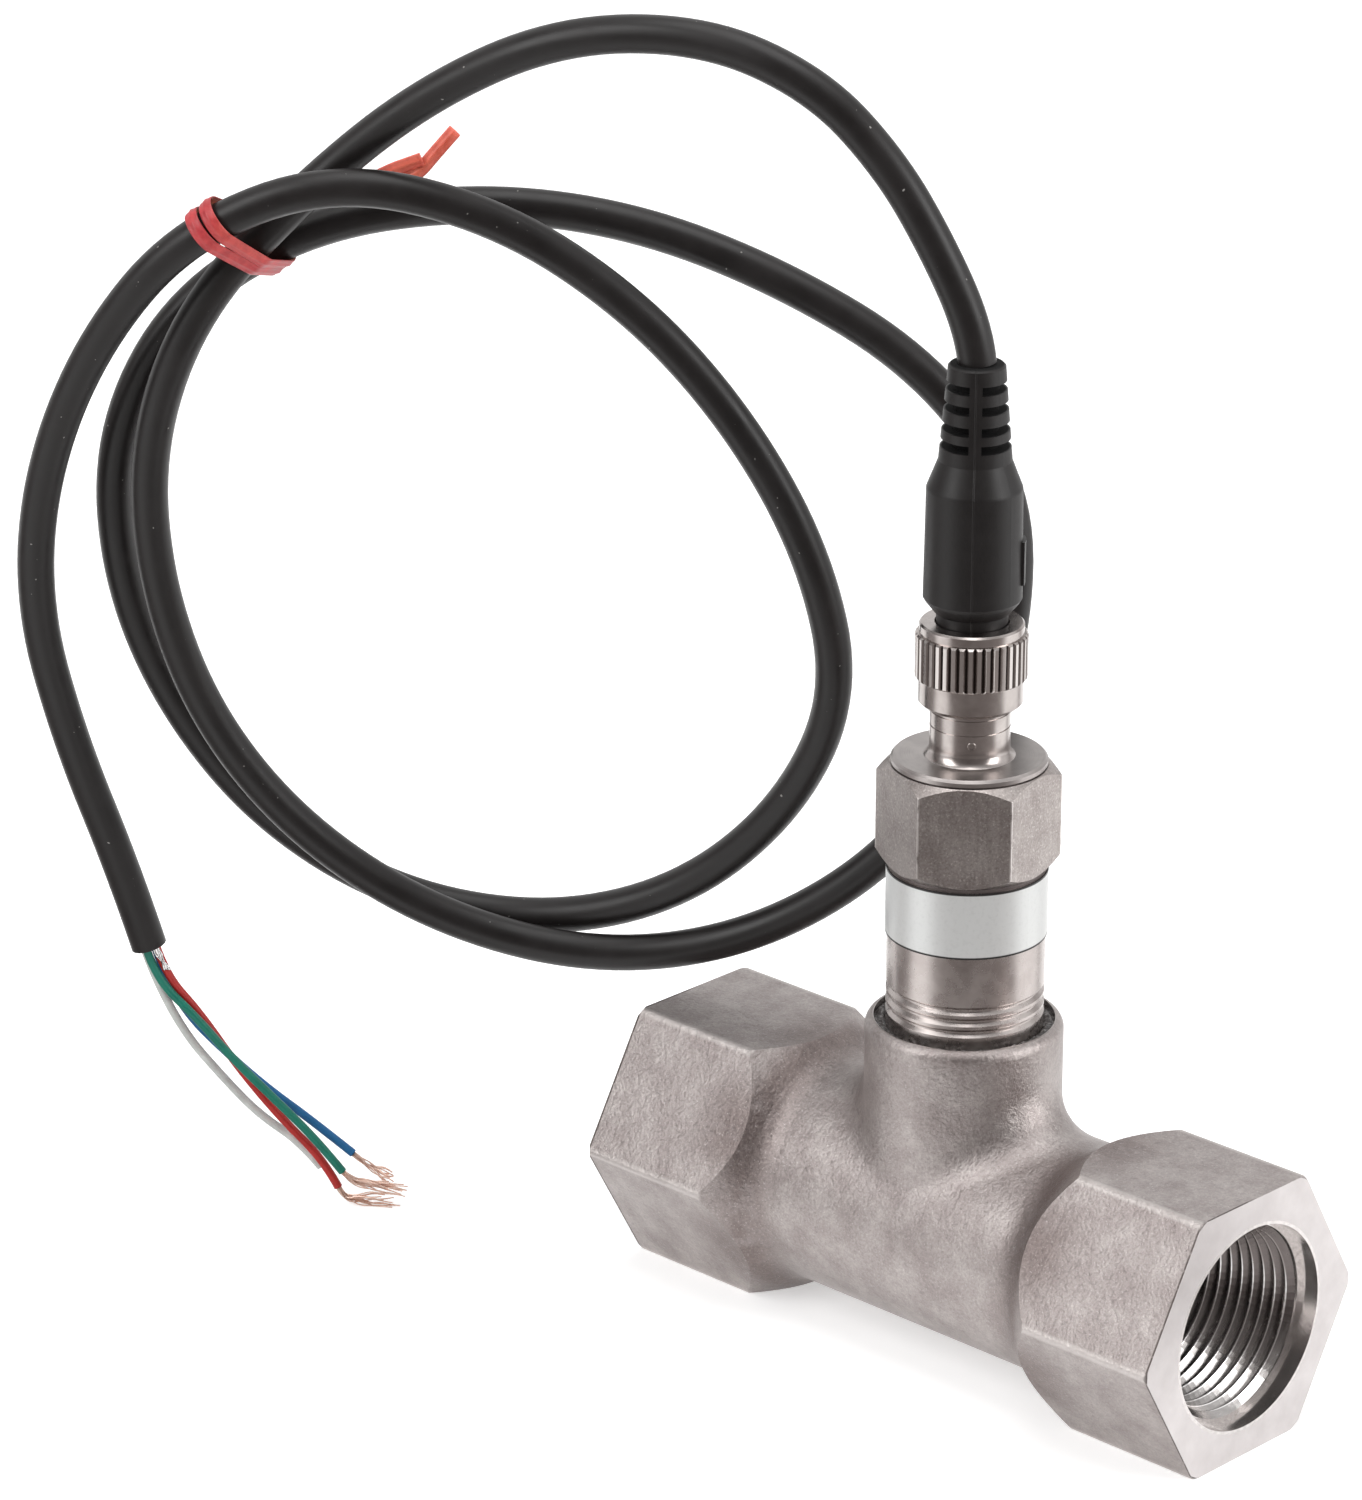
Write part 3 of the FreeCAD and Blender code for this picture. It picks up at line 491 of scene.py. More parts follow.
def turned_steel(name, dark, light, roughness, grain=0.1):
    """Turned or plated metal: fine lines round the Z axis over soft patches."""
    m, t, b = new_material(name)
    where = place_of(t)
    lines = noise(t, where, 9000, 2, 0.5, stretch=(0.02, 0.02, 1))
    patches = noise(t, where, 350, 3, 0.6)
    fine = noise(t, where, 4000, 2, 0.5)
    link(t, graded(t, patches, dark, light), b.inputs["Base Color"])
    b.inputs["Metallic"].default_value = 1.0
    link(t, graded(t, patches, roughness * 0.85, roughness * 1.15), b.inputs["Roughness"])
    bumps(t, b, (lines, 0.25, FINE), (fine, grain, FINE))
    return m


def nut_nickel():
    """Plated nut: polished, with painted shade at the bottom of the knurl's grooves, a painted highlight
    on the knurl's crests, and a skin with patches of wear.
    """
    m, t, b = new_material("nut_nickel")
    where = place_of(t)
    x, y, z = split(t, where)
    out = radius_of(t, x, y)
    band = maths(t, "MULTIPLY", between(t, z, KNURL_FOOT, KNURL_FOOT + 0.2 * MM),
                 between(t, z, KNURL_TOP, KNURL_TOP - 0.2 * MM))
    # Painted shade: dark at the bottom of the knurl's grooves.
    groove_shade = maths(t, "MULTIPLY", band, between(t, out, KNURL_R - 0.12 * MM, KNURL_R - 0.32 * MM))
    patches = noise(t, where, 350, 3, 0.6)
    plate = graded(t, patches, (0.37, 0.33, 0.315), (0.50, 0.46, 0.44))
    # Painted highlight: the knurl's crests are lighter.
    plate = mixed(t, maths(t, "MULTIPLY", band, between(t, out, KNURL_R - 0.05 * MM, KNURL_R)),
                  plate, (0.56, 0.52, 0.50))
    link(t, mixed(t, groove_shade, plate, (0.15, 0.128, 0.12)), b.inputs["Base Color"])
    b.inputs["Metallic"].default_value = 1.0
    link(t, graded(t, patches, 0.17, 0.24), b.inputs["Roughness"])
    bumps(t, b, (noise(t, where, 9000, 2, 0.5, stretch=(0.02, 0.02, 1)), 0.12, FINE),
          (noise(t, where, 2600, 2, 0.5), 0.08, FINE))
    return m


def shell_nickel():
    """Plated connector shell: polished neck, and a flange faced off with fine rings round the axis."""
    m, t, b = new_material("shell_nickel")
    where = place_of(t)
    x, y, z = split(t, where)
    flange = between(t, z, NECK_FOOT + 0.08 * MM, NECK_FOOT + 0.02 * MM)
    lines = noise(t, where, 9000, 2, 0.5, stretch=(0.02, 0.02, 1))
    out = t.nodes.new("ShaderNodeCombineXYZ")
    link(t, radius_of(t, x, y), out.inputs["X"])
    rings = noise(t, out.outputs["Vector"], 7000, 3, 0.6)
    patches = noise(t, where, 350, 3, 0.6)
    neck = graded(t, patches, (0.38, 0.34, 0.325), (0.50, 0.46, 0.44))
    faced = mult(t, graded(t, patches, (0.36, 0.33, 0.32), (0.45, 0.415, 0.40)),
                 ramp(t, rings, (0.35, 0.84), (0.6, 1.0)))
    link(t, mixed(t, flange, neck, faced), b.inputs["Base Color"])
    b.inputs["Metallic"].default_value = 1.0
    link(t, mixed(t, flange, (0.23, 0.23, 0.23), (0.36, 0.36, 0.36)), b.inputs["Roughness"])
    bumps(t, b, (lines, 0.2, FINE), (maths(t, "MULTIPLY", rings, flange), 0.3, FINE))
    return m


def cap_steel():
    """Dull hexagon bar: brownish grey, lightly pitted, with faint lines along the flats."""
    m, t, b = new_material("cap_steel")
    where = place_of(t)
    grain = noise(t, where, 3200, 3, 0.6)
    strokes = noise(t, where, 1500, 2, 0.5, stretch=(1, 1, 0.15))
    patches = noise(t, where, 220, 3, 0.6)
    x, y, _ = split(t, where)
    corner = between(t, radius_of(t, x, y), CAP_CORNER_R - 0.05 * MM, CAP_CORNER_R)
    tone = graded(t, patches, (0.38, 0.335, 0.32), (0.49, 0.445, 0.425))
    tone = mult(t, tone, graded(t, grain, 0.66, 1.0))
    specks = ramp(t, noise(t, where, 3000, 2, 0.5), (0.60, 0.0), (0.68, 0.5))
    tone = mixed(t, specks, tone, (0.68, 0.63, 0.61))
    # Wear: lighter patches on the cap's corners.
    wear_and_painted_light = maths(t, "MULTIPLY", corner, between(t, noise(t, where, 600, 3, 0.6), 0.32, 0.5))
    link(t, mixed(t, wear_and_painted_light, tone, (0.66, 0.62, 0.60)), b.inputs["Base Color"])
    b.inputs["Metallic"].default_value = 0.95
    link(t, graded(t, strokes, 0.34, 0.46), b.inputs["Roughness"])
    bumps(t, b, (grain, 0.35, 0.04 * MM), (strokes, 0.15, 0.03 * MM))
    return m


def label_film():
    """Silver-grey film with a thin dark line along both edges."""
    m, t, b = new_material("label_film")
    where = place_of(t)
    z = split(t, where)[2]
    low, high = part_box("label_band")
    low_line = between(t, z, low.z + 0.32 * MM, low.z + 0.2 * MM)
    high_line = between(t, z, high.z - 0.3 * MM, high.z - 0.2 * MM)
    dust = noise(t, where, 1800, 3, 0.6)
    film = ramp(t, dust, (0.25, (0.58, 0.585, 0.577)), (0.5, (0.63, 0.635, 0.627)))
    edge = maths(t, "MAXIMUM", low_line, high_line)
    link(t, mixed(t, edge, film, (0.03, 0.028, 0.028)), b.inputs["Base Color"])
    b.inputs["Metallic"].default_value = 0.5
    link(t, graded(t, dust, 0.34, 0.42), b.inputs["Roughness"])
    bumps(t, b, (noise(t, where, 500, 2), 0.1, 0.05 * MM))
    return m


def moulded_black(name, tone, roughness, seam=True):
    """Black moulding with a fine spark-eroded grain; painted shade makes the relief's slots nearly black;
    with a parting line.
    """
    m, t, b = new_material(name)
    where = place_of(t)
    grain = noise(t, where, 5200, 2, 0.5)
    patches = noise(t, where, 300, 3, 0.6)
    colour = graded(t, patches, [c * 0.85 for c in tone], [c * 1.15 for c in tone])
    rough = graded(t, patches, roughness * 0.92, roughness * 1.08)
    b.inputs["Specular IOR Level"].default_value = 0.36
    layers = [(grain, 0.18, FINE)]
    if seam:
        x, y, z = split(t, where)
        skin_r = maths(t, "MULTIPLY_ADD", maths(t, "SUBTRACT", z, RELIEF_FOOT), -RELIEF_TAPER, RELIEF_R)
        depth = maths(t, "SUBTRACT", skin_r, radius_of(t, x, y))
        # Painted shade: the relief's slots are nearly black.
        slot_shade = maths(t, "MULTIPLY", between(t, depth, 0.12 * MM, 0.4 * MM),
                     between(t, z, RELIEF_FOOT + 0.8 * MM, RELIEF_FOOT + 1.0 * MM))
        colour = mixed(t, slot_shade, colour, (0.0012, 0.0010, 0.0010))
        rough = mixed(t, slot_shade, rough, (0.95, 0.95, 0.95))
        across = maths(t, "ADD", maths(t, "MULTIPLY", x, SEAM_ACROSS[0]),
                       maths(t, "MULTIPLY", y, SEAM_ACROSS[1]))
        ridge = between(t, maths(t, "ABSOLUTE", across), 0.14 * MM, 0.04 * MM)
        layers.append((ridge, 0.8, 0.05 * MM))
    link(t, colour, b.inputs["Base Color"])
    link(t, rough, b.inputs["Roughness"])
    bumps(t, b, *layers)
    return m


def jacket():
    """Cable jacket: warm black, half matt, with faint dull patches and a few pale dust specks."""
    m, t, b = new_material("jacket")
    where = place_of(t)
    patches = noise(t, where, 180, 3, 0.6)
    fine = noise(t, where, 3000, 3, 0.6)
    specks = ramp(t, noise(t, where, 1400, 1, 0.4), (0.79, 0.0), (0.82, 1.0))
    tone = graded(t, patches, (0.0080, 0.0064, 0.0062), (0.0125, 0.0102, 0.0100))
    link(t, mixed(t, specks, tone, (0.22, 0.21, 0.20)), b.inputs["Base Color"])
    link(t, graded(t, patches, 0.36, 0.46), b.inputs["Roughness"])
    b.inputs["Specular IOR Level"].default_value = 0.38
    bumps(t, b, (fine, 0.10, FINE))
    return m


def insulation(name, tone):
    """Smooth coloured lead insulation with slight patches of tone."""
    m, t, b = new_material(name)
    where = place_of(t)
    patches = noise(t, where, 400, 3, 0.6)
    link(t, graded(t, patches, [c * 0.82 for c in tone], [min(1, c * 1.1) for c in tone]),
         b.inputs["Base Color"])
    link(t, graded(t, patches, 0.36, 0.48), b.inputs["Roughness"])
    bumps(t, b, (noise(t, where, 3000, 2), 0.08, FINE))
    return m


def copper():
    """Bare drawn copper, bright and pinkish with slight tarnish."""
    m, t, b = new_material("copper")
    where = place_of(t)
    patches = noise(t, where, 900, 3, 0.6)
    link(t, graded(t, patches, (0.82, 0.54, 0.43), (1.0, 0.80, 0.70)), b.inputs["Base Color"])
    b.inputs["Metallic"].default_value = 1.0
    link(t, graded(t, patches, 0.25, 0.4), b.inputs["Roughness"])
    return m


def red_film():
    """Red flat tie: slightly translucent plastic, lighter and more orange towards its free tails."""
    m, t, b = new_material("red_film")
    where = place_of(t)
    patches = noise(t, where, 500, 3, 0.6)
    x = split(t, where)[0]
    wrapped = graded(t, patches, (0.34, 0.018, 0.024), (0.56, 0.045, 0.05))
    free = graded(t, patches, (0.60, 0.055, 0.035), (0.86, 0.14, 0.09))
    link(t, mixed(t, between(t, x, -87 * MM, -80 * MM), wrapped, free), b.inputs["Base Color"])
    link(t, graded(t, patches, 0.38, 0.5), b.inputs["Roughness"])
    b.inputs["Subsurface Weight"].default_value = 0.08
    bumps(t, b, (noise(t, where, 2200, 2), 0.12, 0.03 * MM))
    return m


def plain_grain(name, tone, roughness, metallic=0.0, scale=1500, strength=0.2):
    """Simple finish for inner pieces: tone and roughness vary a little with a fine grain."""
    m, t, b = new_material(name)
    where = place_of(t)
    patches = noise(t, where, scale, 3, 0.6)
    link(t, graded(t, patches, [c * 0.8 for c in tone], tone), b.inputs["Base Color"])
    b.inputs["Metallic"].default_value = metallic
    link(t, graded(t, patches, roughness * 0.9, roughness * 1.1), b.inputs["Roughness"])
    bumps(t, b, (patches, strength, 0.03 * MM))
    return m


def dress(obj, material):
    obj.data.materials.clear()
    obj.data.materials.append(material)


def add_camera():
    camera = bpy.data.cameras.new("photo_camera")
    camera.lens = CAMERA_LENS
    camera.clip_end = 20
    obj = bpy.data.objects.new("photo_camera", camera)
    bpy.context.scene.collection.objects.link(obj)
    back = -CAMERA_FORWARD
    up = back.cross(CAMERA_RIGHT)
    turn = Matrix((CAMERA_RIGHT, up, back)).transposed()
    obj.matrix_world = Matrix.Translation(CAMERA_PLACE) @ turn.to_4x4()
    bpy.context.scene.camera = obj


def spline_object(name, route, radius, material=None):
    """A cord: one clamped quadratic spline whose control points are the route in millimetres."""
    curve = bpy.data.curves.new(name, "CURVE")
    curve.dimensions = "3D"
    curve.bevel_depth = radius
    curve.bevel_resolution = 7
    curve.resolution_u = 10
    curve.use_fill_caps = radius > 0
    spline = curve.splines.new("NURBS")
    spline.points.add(len(route) - 1)
    for point, place in zip(spline.points, route):
        point.co = (*(np.array(place, float) * MM), 1)
    spline.order_u = 3
    spline.use_endpoint_u = True
    obj = bpy.data.objects.new(name, curve)
    bpy.context.scene.collection.objects.link(obj)
    if material:
        curve.materials.append(material)
    return obj


def lead_points(colour):
    """Start on the jacket's end face, a stub square to that face, then the lead's own points."""
    end = np.array(CABLE_ROUTE[-1], float)
    ahead = end - np.array(CABLE_ROUTE[-2], float)
    ahead /= np.linalg.norm(ahead)
    across, behind = LEAD_STARTS[colour]
    offset = LEAD_ACROSS * across + LEAD_BEHIND * behind
    start = end + offset - np.array((0, 0, 1)) * (offset @ ahead) / ahead[2]
    return [tuple(start), tuple(start + ahead * LEAD_STUB)] + LEAD_ROUTES[colour]


def bare_points(colour):
    end = np.array(LEAD_ROUTES[colour][-1], float)
    ahead = end - np.array(LEAD_ROUTES[colour][-2], float)
    ahead /= np.linalg.norm(ahead)
    return [tuple(end), tuple(end + ahead * BARE_STUB)] + BARE_ROUTES[colour]


def spline_path(route):
    """Points read from a clamped quadratic spline whose control points are the route in millimetres."""
    line = spline_object("path", route, 0)
    mesh = bpy.data.meshes.new_from_object(line)
    path = np.empty(len(mesh.vertices) * 3)
    mesh.vertices.foreach_get("co", path)
    bpy.data.meshes.remove(mesh)
    bpy.data.objects.remove(line)
    return path.reshape(-1, 3)


def copper_strands(colour, material):
    """A bundle of fine wires: each follows the bare end's path, laid with a slow twist, and fans out.

    Wire k sits at radius R sqrt((k + 1/2) / n) and angle turn k + lay s, with a seeded spread that grows
    as s to the 1.4, a small wave, and a length of its own.
    """
    path = spline_path(bare_points(colour))
    tangent, side, other = frames_along(path)
    rng = np.random.default_rng(len(colour))     # another draw for each colour
    s = np.linspace(0, 1, len(path))[:, None]
    rings = []
    for k in range(STRANDS[colour]):
        radius = BUNDLE_R * math.sqrt((k + 0.5) / STRANDS[colour])
        angle = k * STRAND_TURN + STRAND_LAY * s
        spread = rng.normal(size=2) * STRAND_SPREAD * s ** 1.4
        wave = STRAND_WAVE * s * np.sin(s * rng.uniform(7, 17) + rng.uniform(0, 6))
        a = radius * np.cos(angle) + spread[:, :1] + wave
        b = radius * np.sin(angle) + spread[:, 1:] + wave
        keep = int(len(path) * rng.uniform(0.8, 1.0))
        strand = (path + side * a + other * b)[:keep]
        strand[:, 2] = np.maximum(strand[:, 2], STRAND_LOW)
        rings.append(closed_rings(tube_points(strand, STRAND_R, 6)))
    obj = piece_from("copper_" + colour, rings)
    dress(obj, material)
    return obj


def pipe_thread(name, side, material):
    """Helical ridge inside a bore: at turn a it lies first + pitch a / 2 pi inside the end face.

    Its four corners follow the helix, two at the root's radius and two at the crest's, and the crest
    sinks back to the root at both ends.
    """
    turns = (THREAD_LAST - THREAD_FIRST) / THREAD_PITCH
    steps = int(turns * THREAD_STEPS)
    a = np.linspace(0, 2 * math.pi * turns, steps)
    depth = THREAD_FIRST + THREAD_PITCH * a / (2 * math.pi)
    fade = np.clip(np.minimum(a, a[-1] - a) / THREAD_FADE, 0.03, 1)
    a = a + THREAD_START
    crest = THREAD_ROOT_R - (THREAD_ROOT_R - THREAD_CREST_R) * fade
    half = THREAD_PITCH * THREAD_FOOT
    flat = THREAD_PITCH * THREAD_FLAT
    corners = ((half, THREAD_ROOT_R), (flat, None), (-flat, None), (-half, THREAD_ROOT_R))
    rings = []
    for shift, radius in corners:
        r = crest if radius is None else np.full(steps, radius)
        x = side * (HALF_PIPE - depth + shift)
        rings.append(np.stack([x, r * np.cos(a), PIPE_AXIS + side * r * np.sin(a)], -1))
    rings = np.stack(rings, 1)
    obj = piece_from(name, [closed_rings(rings)], smooth=False)
    dress(obj, material)
    return obj


def sealant_ring(material):
    """Paste squeezed out round the housing in the branch's mouth.

    The section's height is h(u) = edge + crown sin(pi u) across the groove, with lumps of noise that
    fade at both walls; the section is carried once round the axis.
    """
    low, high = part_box("thread_sealant")
    outer, edge = high.x, high.z - SEALANT_EDGE
    u = np.linspace(0.04, 0.96, 15)
    across = np.concatenate([np.full(3, SEALANT_INNER), SEALANT_INNER + (outer - SEALANT_INNER) * u,
                             np.full(3, outer)])
    side = np.linspace(low.z, edge, 3)
    crown = edge + SEALANT_CROWN * np.sin(math.pi * u)
    height = np.concatenate([side, crown, side[::-1]])
    a = np.linspace(0, 2 * math.pi, 480, endpoint=False)
    ring = np.stack([across[None] * np.cos(a)[:, None], across[None] * np.sin(a)[:, None],
                     np.broadcast_to(height, (len(a), len(height)))], -1)
    top = np.zeros(len(across))
    top[3:-3] = np.sin(math.pi * u) ** 0.5
    ring[..., 2] += noise3(ring, 5, LUMP_SIZE, 4) * SEALANT_LUMP * top
    quads = grid_faces(len(a), len(across), wrap_rows=True, wrap_cols=True)
    obj = piece_from("sealant_bead", [(ring.reshape(-1, 3), quads.tolist())])
    dress(obj, material)
    return obj


def paste():
    """Thread sealant: nearly black grey paste, lumpy, half wet, with pale grains."""
    m, t, b = new_material("sealant")
    where = place_of(t)
    grain = noise(t, where, 2600, 3, 0.6)
    tone = ramp(t, grain, (0.35, (0.035, 0.033, 0.032)), (0.55, (0.095, 0.088, 0.085)),
                (0.68, (0.30, 0.285, 0.28)))
    link(t, tone, b.inputs["Base Color"])
    link(t, ramp(t, noise(t, where, 900, 2), (0.35, 0.22), (0.6, 0.5)), b.inputs["Roughness"])
    bumps(t, b, (grain, 0.7, 0.12 * MM))
    return m


def foil_wisp():
    """Torn end of the screening foil: a narrow strip from the jacket's end, crumpled across its width.

    Point(s, u) = path(s) + u w(s) across + c sin(9 s + 5 u) behind, and the same again one film behind.
    """
    path = spline_path(FOIL_ROUTE)
    s = np.linspace(0, 1, len(path))[:, None]
    u = np.linspace(-1, 1, 9)[None]
    width = FOIL_HALF * (0.8 + 0.2 * np.sin(8 * s))
    crumple = FOIL_CRUMPLE * np.sin(9 * s + 5 * u) * np.minimum(1, 4 * s)
    front = path[:, None] + (u * width)[..., None] * LEAD_ACROSS + crumple[..., None] * LEAD_BEHIND
    rings = np.concatenate([front, front[:, ::-1] + LEAD_BEHIND * FOIL_FILM], axis=1)
    obj = piece_from("foil_wisp", [closed_rings(rings)])
    dress(obj, plain_grain("foil", (0.90, 0.89, 0.885), 0.2, 1.0, 900, 0.5))
    return obj


def strand_middles():
    """Where the cable's own spline passes through the plane of the tie, once for each strand.

    The nearest point of the path is slid along its tangent onto the plane.
    """
    path = spline_path(CABLE_ROUTE)
    tangent = frames_along(path)[0]
    normal = np.cross(TIE_STRANDS[1] - TIE_STRANDS[0], TIE_STRANDS[2] - TIE_STRANDS[0])
    normal /= np.linalg.norm(normal)
    strands = TIE_STRANDS + normal * TIE_SLIDE
    nearest = np.argmin(np.linalg.norm(path[None] - strands[:, None], axis=2), axis=1)
    place, along = path[nearest], tangent[nearest]
    slide = (place - strands[0]) @ normal / (along @ normal)
    return place - along * slide[:, None], normal


def tie_section():
    """Closed outline of the film: flat, with a wire under its middle. Columns are width and height."""
    s = np.linspace(-1, 1, 11)
    height = TIE_FILM / 2 + TIE_WIRE * np.exp(-(s / TIE_WIRE_HALF) ** 2)
    height[[0, -1]] *= 0.35
    width = s * TIE_WIDTH / 2
    return np.stack([np.append(width, width[::-1]), np.append(height, -height[::-1])], -1)


def tie_wrap(middles, normal, shift, lean, phase):
    """One turn of the tie round the strands.

    At turn angle t the strand that reaches farthest along d(t) carries the film, at strand + R d(t).
    The line is read again at even steps, and shifted along the normal by shift + lean sin(t + phase).
    """
    u = middles[2] - middles[0]
    u = u - normal * (u @ normal)
    u /= np.linalg.norm(u)
    v = np.cross(normal, u)
    t = np.linspace(0, 2 * math.pi, 721)[:, None]
    d = np.cos(t) * u + np.sin(t) * v
    line = middles[np.argmax(d @ middles.T, axis=1)] + TIE_R * d
    run = np.append(0, np.cumsum(np.linalg.norm(np.diff(line, axis=0), axis=1)))
    even = np.linspace(0, run[-1], 241)[:-1]
    line = np.stack([np.interp(even, run, line[:, k]) for k in range(3)], -1)
    tangent = np.roll(line, -2, axis=0) - np.roll(line, 2, axis=0)
    tangent /= np.linalg.norm(tangent, axis=1, keepdims=True)
    outward = np.cross(tangent, normal)
    turn = even / run[-1] * 2 * math.pi
    line = line + normal * (shift + lean * np.sin(turn + phase))[:, None]
    section = tie_section()
    return line[:, None] + normal * section[None, :, :1] + outward[:, None] * section[None, :, 1:]


def tie_tail(name, turned):
    """Tail of the tie: the flat section along its path, facing the camera past its twisted root.

    At share s of the path the section is turned by twist max(0, 1 - s / root), plus the tail's own turn.
    """
    path = spline_path(TIE_TAILS[name])
    tangent = frames_along(path)[0]
    facing = -np.array(CAMERA_FORWARD)
    side = np.cross(tangent, facing)
    side /= np.linalg.norm(side, axis=1, keepdims=True)
    other = np.cross(tangent, side)
    s = np.linspace(0, 1, len(path))[:, None]
    root = np.clip(1 - s / TAIL_ROOT, 0, 1)
    twist = root * TAIL_TWIST + turned
    across = np.cos(twist) * side + np.sin(twist) * other
    height = np.cross(tangent, across)
    path = path + height * (TAIL_APART * np.sign(math.cos(turned)) * np.minimum(1, root * 3))
    section = tie_section()
    return path[:, None] + across[:, None] * section[None, :, :1] + height[:, None] * section[None, :, 1:]


def cable_tie(material):
    """Film tie: two wraps side by side, one a little askew, and two twisted tails."""
    middles, normal = strand_middles()
    parts = []
    for shift, lean, phase in TIE_WRAPS:
        ring = tie_wrap(middles, normal, shift, lean, phase)
        rows, cols, _ = ring.shape
        parts.append((ring.reshape(-1, 3), grid_faces(rows, cols, wrap_rows=True)[:, ::-1].tolist()))
    for name, turned in TAIL_TURNS.items():
        parts.append(closed_rings(tie_tail(name, turned)))
    obj = piece_from("film_tie", parts)
    dress(obj, material)
    return obj


def index_dot(material):
    """Punched dot on the connector: rings of radius rho laid on the barrel, with a raised rim.

    A ring point at angle b sits at turn rho cos(b) / R, height rho sin(b), radius R + rise(rho).
    """
    b = np.linspace(0, 2 * math.pi, 36, endpoint=False)
    turn = DOT_PLACE[0] + DOT_RINGS[:, None] * np.cos(b) / SHELL_R
    height = DOT_PLACE[1] + DOT_RINGS[:, None] * np.sin(b)
    out = np.broadcast_to(SHELL_R + DOT_RISE[:, None], turn.shape)
    rings = np.stack([out * np.cos(turn), out * np.sin(turn), height], -1)
    obj = piece_from("index_dot", [closed_rings(rings)])
    dress(obj, material)
    return obj


def studio_tone(tree, where):
    """How bright the studio is that way round the object: soft boxes at the sides, dark gaps between.

    The turn runs from straight behind the object, by its left, front and right, to behind again.
    """
    x, y, z = split(tree, where)
    front = maths(tree, "SUBTRACT", maths(tree, "MULTIPLY", x, STUDIO_FRONT[0]),
                  maths(tree, "MULTIPLY", y, STUDIO_FRONT[1]))
    right = maths(tree, "ADD", maths(tree, "MULTIPLY", x, STUDIO_FRONT[1]),
                  maths(tree, "MULTIPLY", y, STUDIO_FRONT[0]))
    turn = maths(tree, "MULTIPLY_ADD", maths(tree, "ARCTAN2", right, front), 0.5 / math.pi, 0.5)
    return ramp(tree, turn, *STUDIO_TONES), z


def add_floor():
    """Pale floor that keeps a soft shadow and fades to the white backdrop.

    Metal sees it with the studio's light and dark parts.
    """
    m, t, b = new_material("floor")
    b.inputs["Roughness"].default_value = 0.9
    b.inputs["Specular IOR Level"].default_value = 0.0
    rays = t.nodes.new("ShaderNodeLightPath")
    where = place_of(t)
    x, y, _ = split(t, where)
    far = between(t, radius_of(t, x, y), *NEAR_FLOOR)
    seen_by_metal = maths(t, "MULTIPLY", rays.outputs["Is Glossy Ray"], far)
    tone = mixed(t, seen_by_metal, (1, 1, 1), studio_tone(t, where)[0])
    link(t, mult(t, (0.86, 0.86, 0.86), tone), b.inputs["Base Color"])
    seen = maths(t, "MAXIMUM", rays.outputs["Is Camera Ray"], rays.outputs["Is Glossy Ray"])
    seen = maths(t, "MAXIMUM", seen, rays.outputs["Is Transmission Ray"])
    link(t, tone, b.inputs["Emission Color"])
    link(t, maths(t, "MULTIPLY", seen, FLOOR_LIFT), b.inputs["Emission Strength"])
    points = np.array(((-1, -1, 0), (1, -1, 0), (1, 1, 0), (-1, 1, 0))) * FLOOR_HALF
    floor = piece_from("floor", [(points, [(0, 1, 2, 3)])], smooth=False)
    dress(floor, m)


def add_light():
    """White surroundings for what the camera and the metal see, soft lamps for the object."""
    world = bpy.data.worlds.new("studio")
    bpy.context.scene.world = world
    world.use_nodes = True
    t = world.node_tree
    background = t.nodes["Background"]
    rays = t.nodes.new("ShaderNodeLightPath")
    seen = maths(t, "MAXIMUM", rays.outputs["Is Camera Ray"], rays.outputs["Is Transmission Ray"])
    room, up = studio_tone(t, t.nodes.new("ShaderNodeTexCoord").outputs["Generated"])
    room = mixed(t, between(t, up, 0.6, 0.9), room, (0.6, 0.6, 0.6))
    level = (WORLD_LIGHT,) * 3
    surroundings = mixed(t, rays.outputs["Is Glossy Ray"], level, room)
    link(t, mixed(t, seen, surroundings, (1, 1, 1)), background.inputs["Color"])
    for name, place, size, power, height in LAMPS:
        lamp = bpy.data.lights.new(name, "AREA")
        lamp.shape = "RECTANGLE"
        lamp.size = size
        lamp.size_y = height
        lamp.energy = power
        obj = bpy.data.objects.new(name, lamp)
        bpy.context.scene.collection.objects.link(obj)
        obj.location = place
        aim = LAMP_AIM - Vector(place)
        obj.rotation_euler = aim.to_track_quat("-Z", "Y").to_euler()


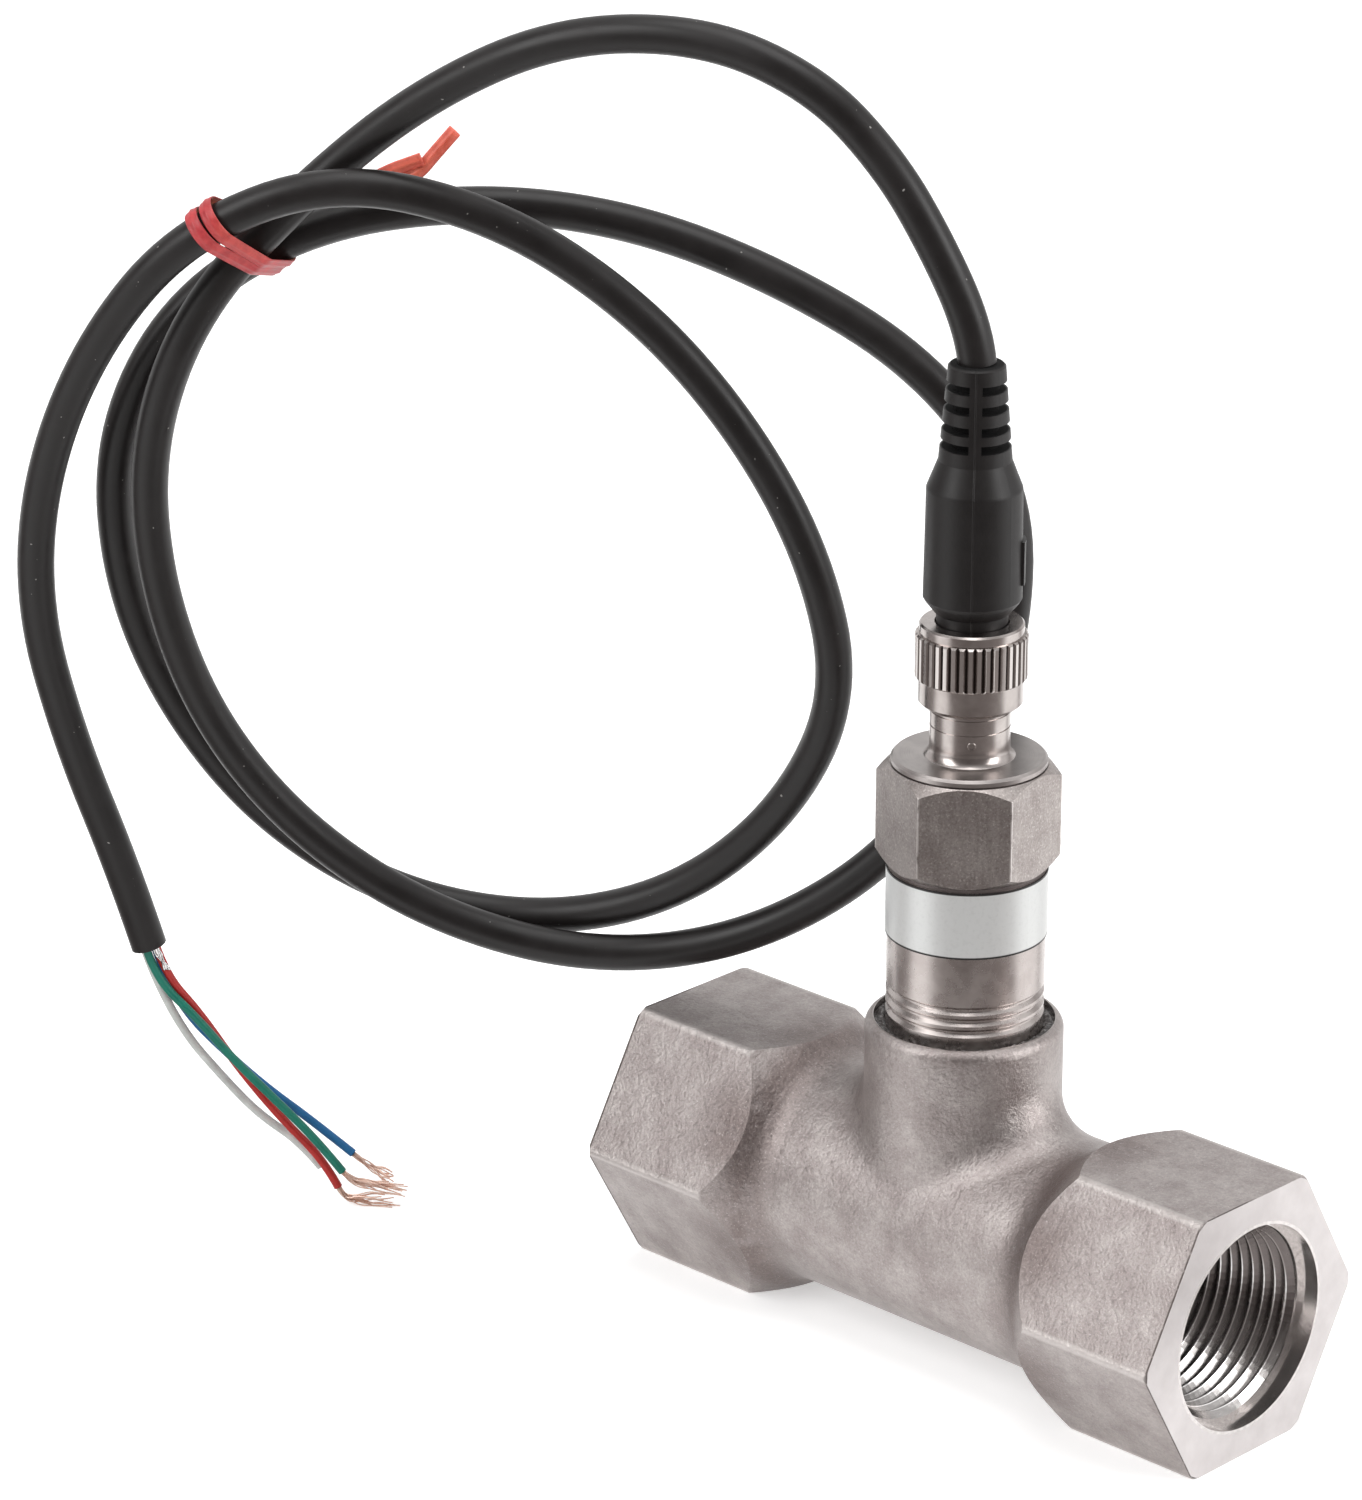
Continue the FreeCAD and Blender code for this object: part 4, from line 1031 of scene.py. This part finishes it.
def dress_nodes():
    finishes = {
        "tee_body": cast_steel(),
        "sensor_housing": turned_steel("housing_steel", (0.42, 0.375, 0.36), (0.53, 0.485, 0.465), 0.27,
                                       grain=0.03),
        "probe_tip": turned_steel("probe_steel", (0.5, 0.48, 0.46), (0.65, 0.62, 0.6), 0.25),
        "hex_cap": cap_steel(),
        "label_band": label_film(),
        "connector_shell": shell_nickel(),
        "coupling_nut": nut_nickel(),
        "nut_retaining_ring": turned_steel("ring_nickel", (0.6, 0.57, 0.55), (0.7, 0.68, 0.66), 0.3),
        "plug_overmould": moulded_black("overmould", (0.0090, 0.0074, 0.0072), 0.46),
        "pin_carrier": moulded_black("pin_insulator", (0.03, 0.03, 0.03), 0.4, seam=False),
        "socket_carrier": moulded_black("socket_insulator", (0.03, 0.03, 0.03), 0.45, seam=False),
        "heated_sensor": plain_grain("chip_ceramic", (0.9, 0.9, 0.88), 0.4),
        "sensor_leads": plain_grain("tinned_wire", (0.7, 0.7, 0.7), 0.3, 1.0),
        "probe_filler": plain_grain("heat_filler", (0.75, 0.75, 0.72), 0.6),
        "circuit_board": plain_grain("board_green", (0.02, 0.20, 0.09), 0.4),
        "board_components": plain_grain("component_black", (0.04, 0.04, 0.04), 0.5),
        "cap_seal_ring": plain_grain("seal_brown", (0.15, 0.125, 0.12), 0.4, 0.5),
        "face_seal": plain_grain("seal_black", (0.02, 0.02, 0.02), 0.5),
        "contact_pin_1": plain_grain("contact_gold", (0.83, 0.62, 0.25), 0.25, 1.0),
    }
    alike = {"reference_sensor": "heated_sensor", "board_leads": "sensor_leads",
             "connector_seal_ring": "cap_seal_ring"}
    for k in (1, 2, 3, 4):
        alike["contact_pin_%d" % k] = "contact_pin_1"
        alike["contact_socket_%d" % k] = "contact_pin_1"
    for name, other in alike.items():
        finishes[name] = finishes[other]
    for name, material in finishes.items():
        dress(nodes[name], material)


def add_cable():
    tie = cable_tie(red_film())
    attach(tie, "plug")
    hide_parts("cable_tie")
    foil = foil_wisp()
    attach(foil, "plug")
    cable = spline_object("cable_jacket", CABLE_ROUTE, CABLE_R, jacket())
    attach(cable, "plug")
    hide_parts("cable")
    tones = {"grey": (0.56, 0.57, 0.55), "green": (0.0, 0.165, 0.112), "blue": (0.008, 0.130, 0.33),
             "red": (0.44, 0.018, 0.014)}
    bright = copper()
    for colour, tone in tones.items():
        points = lead_points(colour)
        lead = spline_object("lead_" + colour, points, WIRE_R, insulation("insulation_" + colour, tone))
        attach(lead, "plug")
        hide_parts("wire_" + colour)
        if colour in BARE_ROUTES:
            strands = copper_strands(colour, bright)
            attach(strands, "plug")
            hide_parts("bare_end_" + colour)


add_camera()
add_cable()
dress_nodes()
cut_thread = thread_steel()
for end, side in (("inlet", -1), ("outlet", 1)):
    thread = pipe_thread("thread_" + end, side, cut_thread)
    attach(thread, "switch")
bead = sealant_ring(paste())
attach(bead, "switch")
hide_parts("thread_sealant")
dot = index_dot(nodes["connector_shell"].data.materials[0])
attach(dot, "switch")
add_floor()
add_light()
bpy.context.scene.view_settings.view_transform = "Standard"
